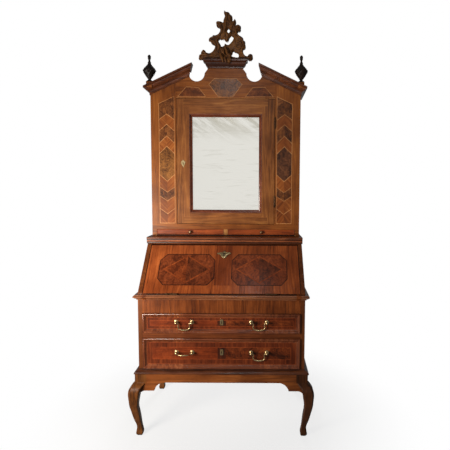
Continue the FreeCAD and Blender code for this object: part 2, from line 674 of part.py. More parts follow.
# Butt hinge along X: fixed half with the pin, moving half with the bored knuckle
def hinge(name, room, length):
    """Two halves about the pin's middle line; the leaves lie back along Y, room apart over all."""
    kr, lt = s["knuckle_radius"], s["leaf_thick"]
    third = length / 3
    gap = s["hinge_clear"]
    halves = []
    leaf_y = (kr + gap, kr + gap + s["leaf_width"])
    low = (-room / 2, -room / 2 + lt)
    high = (room / 2 - lt, room / 2)
    fixed = [box(name + "_leaf", (as_size(0), length), leaf_y, low)]
    for tag, x in (("a", (as_size(0), third - gap)), ("b", (2 * third + gap, length))):
        fixed.append(box(name + "_tab_" + tag, x, (as_size(0), leaf_y[1]), low))
        fixed.append(rod(name + "_knuckle_" + tag, kr, x[1] - x[0], (x[0], 0, 0), "X"))
    fixed.append(rod(name + "_pin", s["pin_radius"], length, (0, 0, 0), "X"))
    moving = [box(name + "_flap", (as_size(0), length), leaf_y, high),
              box(name + "_flap_tab", (third, 2 * third), (as_size(0), leaf_y[1]), high),
              rod(name + "_flap_knuckle", kr, third, (third, 0, 0), "X")]
    bore = rod(name + "_bore", s["pin_radius"] + s["pin_clear"], length, (0, 0, 0), "X")
    return fuse(name + "_fixed", fixed), cut(name + "_moving", fuse(name + "_flap_whole", moving), bore)


axis_z = floor_z + s["fall_gap"] / 2
axis_y = slant(axis_z) - (s["knuckle_radius"] + s["hinge_clear"]) / lean_z
fixed_leaves, fall_leaves = [], []
for tag, sense in (("left", -1), ("right", 1)):
    pair = hinge("fall_hinge_" + tag, s["fall_gap"], s["hinge_length"])
    for piece in pair:
        place(piece, sense * (fall_half - s["fall_hinge_inset"]) - s["hinge_length"] / 2, axis_y, axis_z)
    fixed_leaves.append(pair[0])
    fall_leaves.append(pair[1])
node("fall_hinge_leaves", fall_leaves)


# Long drawers: front board, sloped frame, box, handles and key plate
def post(name):
    """Turned handle post on a rosette, its foot at the origin and its tip towards -Y."""
    rr, rt, pr = s["rosette_radius"], s["rosette_thick"], s["post_radius"]
    reach, tip = s["bail_standoff"], s["post_tip"]
    stem = turned(name + "_turned", "XY_Plane", (0, 0), [
        (rr, 0), (rr, -rt / 2), (pr, -rt, rr, 1), (pr, -reach - pr), (tip, -reach - pr - 2),
        (0, -reach - pr - 2 - tip * 0.8, tip, -1)])
    return stem


def bail(name, hang):
    """Swinging handle about its pivot line, hanging or raised by an angle."""
    arm = s["handle_span"] / 2 - s["bail_inset"]
    drop, bend, wire = s["bail_drop"], s["bail_bend"], s["bail_wire"]
    body = doc.addObject("PartDesign::Body", name + "_bow")
    path = new_sketch(body, name + "_path", "XZ_Plane")
    outline(path, (-arm, 0), [(-arm, bend - drop), (-arm + bend, -drop, bend, 1), (arm - bend, -drop),
            (arm, bend - drop, bend, 1), (arm, 0)], False)
    section = new_sketch(body, name + "_section", "XY_Plane")
    ring(section, -arm, 0, wire)
    pipe = body.newObject("PartDesign::AdditivePipe", name + "_pipe")
    pipe.Profile = section
    pipe.Spine = (path, ["Edge1", "Edge2", "Edge3", "Edge4", "Edge5"])
    stub = s["handle_span"] / 2 - arm - clear
    left = rod(name + "_stub_left", s["pintle_radius"], stub, (-s["handle_span"] / 2 + clear, 0, 0), "X")
    right = rod(name + "_stub_right", s["pintle_radius"], stub, (arm, 0, 0), "X")
    balls = []
    for tag, x in (("left", -arm), ("right", arm)):
        ball = doc.addObject("Part::Sphere", name + "_ball_" + tag)
        tie(ball, Radius=wire)
        balls.append(place(ball, x, 0, 0))
    whole = fuse(name + "_whole", [body, left, right] + balls)
    return whole, hang


face_y = front + s["front_step"]
drawer_half = inner - s["drawer_gap"]


def long_drawer(name, low, high, handle_drop, raised):
    """All the nodes of one long drawer between two heights."""
    z = (low + s["drawer_gap"], high - s["drawer_gap"])
    x = (-drawer_half, drawer_half)
    board_y = (face_y, face_y + s["front_thick"])
    board = box(name + "_board", x, board_y, z)
    rise, width, bevel = s["frame_rise"], s["frame_width"], s["frame_slope"]
    blank = box(name + "_frame_blank", x, (face_y - rise, face_y), z)
    hole = doc.addObject("Part::Wedge", name + "_frame_hole")
    inner_x, inner_z = drawer_half - width, (z[1] - z[0]) / 2 - width
    tie(hole, Xmin=-(inner_x + bevel), Xmax=inner_x + bevel, Zmin=-(inner_z + bevel), Zmax=inner_z + bevel,
        X2min=-inner_x, X2max=inner_x, Z2min=-inner_z, Z2max=inner_z, Ymin=0, Ymax=rise)
    place(hole, 0, face_y - rise, (z[0] + z[1]) / 2)
    node(name + "_front", [board, cut(name + "_frame", blank, hole)])
    box_x = (-drawer_half + clear, drawer_half - clear)
    pieces = drawer_box(name + "_case", box_x, (board_y[1], board_y[1] + s["box_depth"]),
                        (low + clear, high - s["box_low"]), s["box_wall"], s["box_bottom"])
    node(name + "_box", pieces)
    pivot_z = high - handle_drop
    pivot_y = face_y - s["bail_standoff"]
    fittings = []
    span = s["handle_span"] / 2
    for tag, centre in (("left", -s["handle_place"]), ("right", s["handle_place"])):
        for end, sense in (("a", -1), ("b", 1)):
            stem = place(post("%s_post_%s_%s" % (name, tag, end)), centre + sense * span, face_y, pivot_z)
            start = centre + sense * span - (s["post_tip"] if sense > 0 else as_size(0))
            drill = rod("%s_drill_%s_%s" % (name, tag, end), s["pintle_radius"] + s["pin_clear"],
                        s["post_tip"], (start, pivot_y, pivot_z), "X")
            fittings.append(cut("%s_stem_%s_%s" % (name, tag, end), stem, drill))
        whole, angle = bail("%s_bail_%s" % (name, tag), raised == tag)
        place(whole, centre, pivot_y, pivot_z)
        if angle:
            turn(whole, (1, 0, 0), -s["bail_raise"])
        node("%s_bail_%s" % (name, tag), whole)
    plate = key_plate(name + "_plate", s["key_plate_width"], s["key_plate_height"])
    place(plate, 0, face_y - s["plate_thick"], (z[0] + z[1]) / 2 + 6)
    case = box(name + "_lock", (-lock_half, lock_half), (board_y[1], board_y[1] + s["lock_thick"]),
               (high - s["box_low"] - s["lock_height"], high - s["box_low"]))
    node(name + "_fittings", fittings + [plate, case])


long_drawer("drawer_upper", up_z, up_top, s["upper_handle_drop"], "")
long_drawer("drawer_lower", low_z, low_top, s["lower_handle_drop"], "left")

# Upper cabinet
cab_left = box("cabinet_left", (-wide, -cabinet_inner), (face_back, back), (ledge_z, cornice_corner))
node("cabinet_sides", [cab_left, mirror("cabinet_right", cab_left)])
deck_y = (face_back, inside_back)
cab_x = (-cabinet_inner, cabinet_inner)
shelf_low = rail_top + s["shelf_low_rise"]
shelf_high = rail_top + s["shelf_high_rise"]
node("cabinet_boards", [
    box("cabinet_bottom", cab_x, (cabinet_front, inside_back), (ledge_z, base_top)),
    box("cabinet_deck", cab_x, deck_y, (rail_top - s["floor_thick"], rail_top)),
    box("cabinet_roof_board", cab_x, deck_y, (cabinet_roof - s["top_thick"], cabinet_roof)),
    box("cabinet_shelf_low", cab_x, deck_y, (shelf_low, shelf_low + s["shelf_thick"])),
    box("cabinet_shelf_high", cab_x, deck_y, (shelf_high, shelf_high + s["shelf_thick"]))])
face_y2 = (cabinet_front, face_back)
post_in = wide - s["post_width"]
cab_post = box("drawer_post_left", (-wide, -post_in), face_y2, (base_top, rail_low))
divider_half = s["divider_width"] / 2
divider = box("drawer_divider", (-divider_half, divider_half), (cabinet_front, inside_back),
              (base_top, rail_low))
foot_left = box("post_foot_left", (-wide, -cabinet_inner), face_y2, (ledge_z, base_top))
rail = box("cabinet_rail_board", (-wide, wide), face_y2, (rail_low, rail_top))
node("cabinet_rails", [rail, cab_post, mirror("drawer_post_right", cab_post), divider,
                       foot_left, mirror("post_foot_right", foot_left)])

# Shallow drawers with ball knobs
sx = (-post_in + clear, -divider_half - clear)
sz = (base_top + clear, rail_low - clear)
small_front = box("small_front", sx, (cabinet_front, cabinet_front + s["small_front"]), sz)
small_y = cabinet_front + s["small_front"]
small_case = drawer_box("small_case", sx, (small_y, small_y + s["small_depth"]), sz,
                        s["small_wall"], s["small_bottom"])
node("small_drawer_left", [small_front] + small_case)
node("small_drawer_right", [mirror("small_right_%d" % i, piece)
                            for i, piece in enumerate([small_front] + small_case)])
kr, kn, kl = s["knob_radius"], s["knob_neck"], s["knob_length"]
knob = turned("small_knob", "XY_Plane", (0, 0), [
    (kr * 0.8, 0), (kr * 0.8, -2), (kn, -4), (kn, kr * 1.7 - kl, 30, 1), (kr, kr - kl, kr, -1),
    (0, -kl, kr, -1)])
place(knob, (sx[0] + sx[1]) / 2, cabinet_front, (sz[0] + sz[1]) / 2)
node("small_knob_left", knob)
node("small_knob_right", mirror("small_knob_mirror", knob))

# Pilasters, pediment board
lap = s["cornice_lap"]
pilaster = pad("pilaster_left_board", "XZ_Plane", (-wide, rail_top), [
    (-opening, rail_top), (-opening, rake_top(opening) - lap), (-wide, rake_top(wide) - lap)],
    s["face_thick"])
place(pilaster, 0, cabinet_front)
node("pilasters", [pilaster, mirror("pilaster_right_board", pilaster)])

sp, sr, ph = s["scoop_place"], s["scoop_radius"], s["pedestal_half"]
pt = cornice_corner + s["pedestal_rise"]
scoop_z = rake_top(sp + sr) - lap
pediment = pad("pediment", "XZ_Plane", (-opening, board_low), [
    (opening, board_low), (opening, rake_top(opening) - lap), (sp + sr, scoop_z),
    (sp, scoop_z - sr, sr, -1), (sp - sr, scoop_z, sr, -1), (ph, pt), (-ph, pt),
    (-sp + sr, scoop_z), (-sp, scoop_z - sr, sr, -1), (-sp - sr, scoop_z, sr, -1),
    (-opening, rake_top(opening) - lap)], s["face_thick"])
place(pediment, 0, cabinet_front)
node("pediment_board", pediment)

# Raking cornices with level returns on the sides
cr, ch = s["cornice_reach"], s["cornice_height"]
PROFILE = [(0, -lap), (0, -ch), (4, -ch), (4, 10 - ch), (10, 24 - ch, 18, 1), (13, 26 - ch),
           (cr - 9, 44 - ch, 24, -1), (cr - 6, 46 - ch), (cr, 48 - ch), (cr, as_size(0))]
start_x, end_x = -(wide + cr), -s["rake_end"]
rake_body = doc.addObject("PartDesign::Body", "raking_run")
rake_sketches = []
for number, x in enumerate((start_x, end_x)):
    sketch = new_sketch(rake_body, "raking_section_%d" % number, "YZ_Plane", x)
    top = rake_top(-x)
    across = [(cabinet_front - p[0], top + p[1]) + tuple(p[2:]) for p in PROFILE]
    across += [(face_back, top), (face_back, top - lap)]
    outline(sketch, across[0][:2], across[1:])
    rake_sketches.append(sketch)
rake_loft = rake_body.newObject("PartDesign::AdditiveLoft", "raking_loft")
rake_loft.Profile = rake_sketches[0]
rake_loft.Sections = rake_sketches[1:]
rake_loft.Ruled = True
tall = cornice_end - cornice_corner + 2 * ch
mitre = pad("raking_plan", "XY_Plane", (-wide, cabinet_front), [
    (start_x, cabinet_front - cr), (end_x, cabinet_front - cr), (end_x, face_back), (-wide, face_back)], tall)
place(mitre, 0, 0, cornice_corner - ch - 20)
rake_mitred = common("raking_mitred", rake_body, mitre)
end_cut = pad("raking_end_cut", "XZ_Plane", (end_x, cornice_end), [
    (end_x - s["rake_cut"], cornice_end - ch - 18), (end_x + 1, cornice_end - ch - 18),
    (end_x + 1, cornice_end)], cr + s["face_thick"])
place(end_cut, 0, cabinet_front - cr)
rake_trimmed = cut("raking_trimmed", rake_mitred, end_cut)
wall_top = rake_top(wide)
RETURN = [(-wide - p[0], wall_top + p[1] - p[0] * rake) + tuple(p[2:]) for p in PROFILE] + [(-wide, wall_top)]
return_run = pad("return_run", "XZ_Plane", RETURN[0][:2], RETURN[1:], back - cabinet_front + cr)
place(return_run, 0, cabinet_front - cr)
return_plan = pad("return_plan", "XY_Plane", (-wide, cabinet_front), [
    (-wide, back), (start_x, back), (start_x, cabinet_front - cr)], 2 * ch)
place(return_plan, 0, 0, cornice_corner - ch - 40)
return_mitred = common("return_mitred", return_run, return_plan)

# Finials on plinths let into the cornice corners
pl = s["plinth_side"] / 2
fin_x, fin_y = -wide, cabinet_front - cr + 7 + pl
plinth_low = cornice_corner - s["plinth_sink"]
plinth_z = rake_top(wide - pl) + s["plinth_step"]
plinth = box("finial_plinth", (fin_x - pl, fin_x + pl), (fin_y - pl, fin_y + pl), (plinth_low, plinth_z))
rake_left = cut("raking_left", rake_trimmed, plinth)
return_left = cut("return_left", return_mitred, plinth)
node("raking_cornices", [rake_left, mirror("raking_right", rake_left), return_left,
                         mirror("return_right", return_left)])
fr, fh = s["finial_radius"], s["finial_height"]
spindle = turned("finial_spindle", "XZ_Plane", (0, 0), [
    (pl - 3, 0), (pl - 3, 2), (9, 6, 6, -1), (9, 8), (fr * 0.75, 29, 60, -1), (fr, 46, 30, 1),
    (fr * 0.7, 72, 30, 1), (10, 89, 40, -1), (8, 94), (4.5, 110, 30, -1), (8, 122), (7, fh - 14, 14, 1),
    (0, fh, 8.75, 1)])
place(spindle, fin_x, fin_y, plinth_z)
finial = fuse("finial_left", [plinth, spindle])
node("finials", [finial, mirror("finial_right", finial)])

# Pedestal cap: core with mitred strips
cap_core = box("cap_core", (-ph, ph), (cabinet_front, face_back), (pt, pt + s["cap_height"]))
rc, hc = s["cap_reach"], s["cap_height"]
cap = strips("cap", [(0, 0), (5, 0), (5, 8), (9, 10), (rc - 10, hc - 20, 26, -1), (rc - 4, hc - 16, 8, 1),
             (rc, hc - 12), (rc, hc - 3), (rc - 3, hc, 3, 1), (0, hc)],
             ph, cabinet_front, face_back, rc, pt, pt + hc)
node("pedestal_cap", [cap_core] + list(cap))

# Carved crest: pierced leaf scroll standing on the cap
cw, ct = s["crest_width"] / 308, s["crest_thick"]
cz = s["crest_height"] / 269
crest_z = pt + hc


def leaf(*points):
    """Outline points of the carving from its own width and height, with the bends left as drawn."""
    done = []
    for p in points:
        done.append((p[0] * cw, crest_z + p[1] * cz) + ((p[2] * cw, p[3]) if len(p) > 2 else ()))
    return done


CREST = leaf((-128, 0), (-151, 0), (-152, 13, 9, -1), (-140, 31, 16, -1), (-124, 52, 16, -1),
             (-113, 42, 9, -1), (-84, 39, 24, 1), (-60, 72, 50, 1), (-63, 82, 10, 1), (-86, 104, 28, -1),
             (-95, 104), (-83, 125, 16, -1), (-73, 129, 10, -1), (-72, 138), (-54, 137, 20, 1),
             (-36, 151, 24, 1), (-31, 161, 14, 1), (-37, 179, 14, 1), (-52, 197, 16, -1), (-33, 213, 15, -1),
             (-13, 202, 26, -1), (-11.5, 220), (-2.5, 243), (-9, 260), (-8, 269), (13, 265, 30, 1),
             (26, 250, 16, -1), (40, 232, 16, -1), (29, 207, 24, -1), (56, 223), (58, 197, 22, -1),
             (46, 178, 30, -1), (60, 189), (81, 191, 13, -1), (87, 174, 11, -1), (73, 156, 12.5, -1),
             (69, 148, 8, 1), (76, 133, 12, 1), (91, 128, 12, -1), (102, 107.5, 16, -1), (114, 93, 13, -1),
             (111, 86), (115, 78, 6, -1), (106, 58, 15, -1), (101, 58), (101, 49), (110, 27, 30, 1),
             (128, 20.5, 16, 1), (141, 32, 12, -1), (156, 18, 11.5, -1), (151, 0, 13, -1), (131, 0, 11.5, -1))
HOLES = [leaf((-42, 107.5), (-31, 116.5), (-13, 112.6, 20, 1), (-7.7, 116.5), (-2.6, 107.5), (5, 101),
              (15.4, 101), (19.2, 112.6), (32, 133, 40, -1), (41, 130.6), (47.4, 123), (30.7, 94.7, 60, -1),
              (18, 82), (7.7, 83), (0, 89.6), (-6.4, 79.4), (-24.3, 71.7, 30, -1), (-37, 97, 60, 1)),
         leaf((25.6, 20.5), (41, 38.4, 24, 1), (42.2, 46), (48.6, 47.4), (69, 38.4, 30, 1), (75.5, 30.7),
              (75.5, 12.8), (58.9, 12.8), (43.5, 16.6)),
         leaf((9, 161), (18, 174, 14, -1), (25.6, 161, 14, -1), (16.6, 146, 20, -1))]
crest = pad("crest_leaf", "XZ_Plane", CREST[0], CREST[1:], ct, [(h[0], h[1:]) for h in HOLES])
crest_y = cabinet_front - rc / 2
place(crest, 0, crest_y)
hang = s["crest_hang"]
drop_leaf = pad("crest_drop", "XZ_Plane", (2 * cw, crest_z + 60 * cz), [
    (6 * cw, crest_z), (20 * cw, crest_z - hang, hang * 1.4, 1), (34 * cw, crest_z, hang * 1.4, 1),
    (38 * cw, crest_z + 12 * cz)], crest_y - cabinet_front + rc + 10)
place(drop_leaf, 0, cabinet_front - rc - 10)
keep_clear = box("crest_clear", (-ph, ph), (cabinet_front - rc, cabinet_front), (pt, crest_z))
node("crest_carving", fuse("crest_whole", [crest, cut("crest_tongue", drop_leaf, keep_clear)]))

# Door: frame, sight moulding, mirror plate, backboard
stile = door_half - s["stile_width"]
door_y = (cabinet_front, face_back)
stile_left = box("stile_left", (-door_half, -stile), door_y, (door_low, door_high))
sight_low = door_low + s["bottom_rail"]
sight_high = door_high - s["top_rail"]
rail_bottom = box("door_rail_bottom", (-stile, stile), door_y, (door_low, sight_low))
rail_upper = box("door_rail_top", (-stile, stile), door_y, (sight_high, door_high))
node("door_frame", [stile_left, mirror("stile_right", stile_left), rail_bottom, rail_upper])
st, sg = s["sight_width"], s["sight_thick"]
sight_y = cabinet_front + sg
glass_x = stile - s["glass_clear"] / 2
sight_run = pad("sight_upright", "XY_Plane", (-stile, cabinet_front), [
    (-stile + 4, cabinet_front), (-stile + st - 3, cabinet_front + sg - 4, 16, -1),
    (-stile + st, cabinet_front + sg - 3), (-stile + st, sight_y), (-stile, sight_y)], sight_high - sight_low)
place(sight_run, 0, 0, sight_low)
upright_plan = pad("sight_upright_plan", "XZ_Plane", (-stile, sight_low), [
    (-stile + st, sight_low + st), (-stile + st, sight_high - st), (-stile, sight_high)], sg)
place(upright_plan, 0, cabinet_front)
sight_left = common("sight_left", sight_run, upright_plan)
sight_level = pad("sight_level", "YZ_Plane", (cabinet_front, sight_low), [
    (sight_y, sight_low), (sight_y, sight_low + st), (cabinet_front + sg - 3, sight_low + st),
    (cabinet_front + sg - 4, sight_low + st - 3), (cabinet_front, sight_low + 4, 16, 1)], 2 * stile)
place(sight_level, -stile)
level_plan = pad("sight_level_plan", "XZ_Plane", (-stile, sight_low), [
    (stile, sight_low), (stile - st, sight_low + st), (-stile + st, sight_low + st)], sg)
place(level_plan, 0, cabinet_front)
sight_bottom = common("sight_bottom", sight_level, level_plan)
sight_middle = (sight_low + sight_high) / 2
sight_top = doc.addObject("Part::Mirroring", "sight_top")
sight_top.Source = sight_bottom
sight_top.Normal = FreeCAD.Vector(0, 0, 1)
sight_top.Base = FreeCAD.Vector(0, 0, sight_middle.value)
sight_top.setExpression("Base.z", sight_middle.text)
node("door_moulding", [sight_left, mirror("sight_right", sight_left), sight_bottom, sight_top])
glass_z = (sight_low + s["glass_clear"] / 2, sight_high - s["glass_clear"] / 2)
glass_end = sight_y + s["glass_thick"]
node("mirror_glass", box("mirror_plate", (-glass_x, glass_x), (sight_y, glass_end), glass_z))
node("mirror_backboard", box("mirror_back", (-glass_x, glass_x),
     (glass_end, glass_end + s["backboard_thick"]), glass_z))

# Door lock on the left stile: key plate, case, bolt that goes behind the pilaster
plate_x = -(door_half + stile) / 2
key_z = door_low + s["door_key_rise"]
pw, phh = s["door_plate_width"] / 2, s["door_plate_height"] / 2
door_plate = key_plate("door_plate", s["door_plate_width"], s["door_plate_height"], [
    (0, -phh), (pw - 3, -4, 30, 1), (pw, 8, 20, 1), (4, phh - 6, 16, 1), (0, phh), (-4, phh - 6),
    (-pw, 8, 16, 1), (-pw + 3, -4, 20, 1)])
place(door_plate, plate_x, cabinet_front - s["plate_thick"], key_z)
case_x = (-door_half + 6, -door_half + 6 + s["lock_width"])
door_case = box("door_lock_case", case_x, (face_back, face_back + s["lock_thick"]),
                (key_z - s["lock_height"] / 2, key_z + s["lock_height"] / 2))
bolt_y = face_back + 2
door_slot = box("door_lock_slot", (-door_half, -door_half + 1 + s["bolt_length"] + gap),
                (bolt_y - gap, bolt_y + s["bolt_thick"] + gap),
                (key_z - bolt_half - gap, key_z + bolt_half + gap))
node("door_lock", [door_plate, cut("door_lock_body", door_case, door_slot)])
node("door_lock_bolt", box("door_bolt", (-door_half + 1, -door_half + 1 + s["bolt_length"]),
     (bolt_y, bolt_y + s["bolt_thick"]), (key_z - bolt_half, key_z + bolt_half)))

# Door hinges on the right edge
door_leaves = []
for tag, height in (("low", door_low + s["hinge_foot"]), ("high", door_high - s["hinge_head"])):
    pair = hinge("door_hinge_" + tag, s["door_gap"], s["hinge_length"])
    for piece in pair:
        place(piece, door_half + s["door_gap"] / 2, cabinet_front - s["knuckle_radius"] - s["hinge_clear"],
              height - s["hinge_length"] / 2)
        turn(piece, (0, 1, 0), -90)
    fixed_leaves.append(pair[0])
    door_leaves.append(pair[1])
node("door_hinge_leaves", door_leaves)
node("hinge_leaves_fixed", fixed_leaves)

doc.recompute()

# Every piece is checked, then written
broken = [thing.Label for thing in doc.Objects if "Invalid" in thing.State or "Error" in thing.State]
if broken:
    raise RuntimeError("these did not build: %s" % ", ".join(broken))
os.makedirs("parts", exist_ok=True)
for thing in NODES:
    if thing.Shape.isNull() or not thing.Shape.isValid() or not thing.Shape.Solids:
        raise RuntimeError("%s has no valid solid" % thing.Label)
    thing.Shape.exportStep("parts/%s.step" % thing.Label)
    print("%s: %d solids, %.1f cm3" % (thing.Label, len(thing.Shape.Solids), thing.Shape.Volume / 1000))
print("nodes", len(NODES))
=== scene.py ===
"""Escritoire: a slant-front desk with a mirrored cabinet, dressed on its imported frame."""
import logging
import math
from dataclasses import dataclass
from enum import Enum
from functools import cache
from typing import Any, Callable, ClassVar, Sequence

import bmesh
import bpy
from mathutils import Matrix, Vector, kdtree


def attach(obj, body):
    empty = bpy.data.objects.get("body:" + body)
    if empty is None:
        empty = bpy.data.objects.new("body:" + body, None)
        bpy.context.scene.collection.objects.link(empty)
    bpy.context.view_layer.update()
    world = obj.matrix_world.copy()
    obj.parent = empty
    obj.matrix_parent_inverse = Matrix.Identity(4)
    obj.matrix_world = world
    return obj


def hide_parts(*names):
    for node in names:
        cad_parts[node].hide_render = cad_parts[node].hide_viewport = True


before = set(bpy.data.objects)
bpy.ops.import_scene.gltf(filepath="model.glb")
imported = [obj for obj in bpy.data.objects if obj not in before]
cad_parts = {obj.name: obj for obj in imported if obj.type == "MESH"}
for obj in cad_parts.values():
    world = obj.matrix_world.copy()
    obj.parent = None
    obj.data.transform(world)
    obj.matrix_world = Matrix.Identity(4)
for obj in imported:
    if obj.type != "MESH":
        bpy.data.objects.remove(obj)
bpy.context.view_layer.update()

MM = 0.001
CARCASE_FRONT = -247.0
CABINET_FRONT = 30.0
SAW_TOLERANCE = 1e-7
MERGE_DISTANCE = 1e-5
FACES_FRONT = -0.5
SHIFT_SHARES = (1.0, 0.7, 1.3)
FALL_RUN = 0.66931
FALL_RISE = 0.74298
FALL_AHEAD = 1.261
FALL_FOOT = 759.6
Tone = tuple[int, int, int]
Point = tuple[float, float]
Place = tuple[float, float, float]
Piece = bpy.types.Object
Socket = bpy.types.NodeSocket
Test = Callable[[float, float], bool]

logging.basicConfig(level=logging.INFO, format="%(name)s: %(message)s")
log = logging.getLogger("escritoire")


def tint(tone: Tone) -> tuple[float, float, float, float]:
    """Turns a colour, as read, into the linear colour that shaders take.

    Args:
        tone: Red, green and blue from 0 to 255.

    Returns:
        Linear red, green, blue and a full alpha.
    """
    linear = [(c / 255 / 12.92) if c <= 10 else ((c / 255 + 0.055) / 1.055) ** 2.4 for c in tone]
    return (linear[0], linear[1], linear[2], 1.0)


class Graph:
    """Places and links the nodes of one node tree."""

    def __init__(self, tree: bpy.types.NodeTree) -> None:
        """Keeps the tree that is worked on."""
        self.tree = tree

    def feed(self, node: bpy.types.Node, inputs: dict[Any, Any]) -> bpy.types.Node:
        """Links inputs of a node to other sockets, or sets their plain values.

        Args:
            node: Node that takes the values.
            inputs: Output sockets, numbers, vectors or colours by input name or index.

        Returns:
            The node.
        """
        for key, value in inputs.items():
            if isinstance(value, Socket):
                self.tree.links.new(value, node.inputs[key])
            else:
                node.inputs[key].default_value = value
        return node

    def add(self, kind: str, inputs: dict[Any, Any] | None = None, **settings: Any) -> bpy.types.Node:
        """Adds a shader node.

        Args:
            kind: Node type without its ShaderNode prefix.
            inputs: Values or sockets by input name or index.
            settings: Properties of the node.

        Returns:
            The new node.
        """
        node = self.tree.nodes.new("ShaderNode" + kind)
        for key, value in settings.items():
            setattr(node, key, value)
        return self.feed(node, inputs or {})

    def math(self, operation: str, *values: Any) -> Socket:
        """Adds a Math node and returns its output."""
        return self.add("Math", dict(enumerate(values)), operation=operation).outputs[0]

    def total(self, *terms: tuple[Any, Any]) -> Socket:
        """Adds up numbers, each times its weight.

        Args:
            terms: Number and weight of each.

        Returns:
            The sum.
        """
        result = self.math("MULTIPLY", *terms[0])
        for number, weight in terms[1:]:
            result = self.math("MULTIPLY_ADD", number, weight, result)
        return result

    def ease(self, value: Any, low: float, high: float, to_low: float = 0.0, to_high: float = 1.0) -> Socket:
        """Maps a range smoothly onto another.

        Args:
            value: Number to map.
            low: Start of the range.
            high: End of the range.
            to_low: Result at the start.
            to_high: Result at the end.

        Returns:
            The mapped number.
        """
        return self.add("MapRange", {0: value, 1: low, 2: high, 3: to_low, 4: to_high},
                        interpolation_type="SMOOTHSTEP").outputs[0]

    def mix(self, share: Any, a: Any, b: Any, blend: str = "MIX") -> Socket:
        """Mixes two colours and returns the colour."""
        return self.add("Mix", {0: share, 6: a, 7: b}, data_type="RGBA", blend_type=blend).outputs[2]

    def stain(self, share: Any, colour: Any, by: Place) -> Socket:
        """Mixes a colour with itself times another, and returns the colour."""
        return self.mix(share, colour, self.mix(1.0, colour, (*by, 1.0), "MULTIPLY"))

    def choose(self, share: Any, a: Any, b: Any) -> Socket:
        """Mixes two vectors and returns the vector."""
        return self.add("Mix", {0: share, 4: a, 5: b}, data_type="VECTOR").outputs[1]

    def vector(self, operation: str, a: Any, b: Any) -> Socket:
        """Adds a Vector Math node and returns its vector."""
        return self.add("VectorMath", {0: a, 1: b}, operation=operation).outputs[0]

    def noise(self, vector: Any, scale: float, detail: float = 3.0, rough: float = 0.55,
              twist: float = 0.0) -> bpy.types.Node:
        """Adds a Noise texture.

        Args:
            vector: Place to read it at.
            scale: Size of its cells, larger is finer.
            detail: Number of finer layers.
            rough: Strength of the finer layers.
            twist: Distortion.

        Returns:
            The noise node.
        """
        return self.add("TexNoise", {"Vector": vector, "Scale": scale, "Detail": detail, "Roughness": rough,
                                     "Distortion": twist})

    def streaks(self, vector: Any, by: Place, detail: float, rough: float = 0.55) -> Socket:
        """Reads a Noise texture drawn out along an axis.

        Args:
            vector: Place to read it at.
            by: Cells to the metre along each axis.
            detail: Number of finer layers.
            rough: Strength of the finer layers.

        Returns:
            The number that is read.
        """
        return self.noise(self.vector("MULTIPLY", vector, by), 1.0, detail, rough).outputs["Fac"]


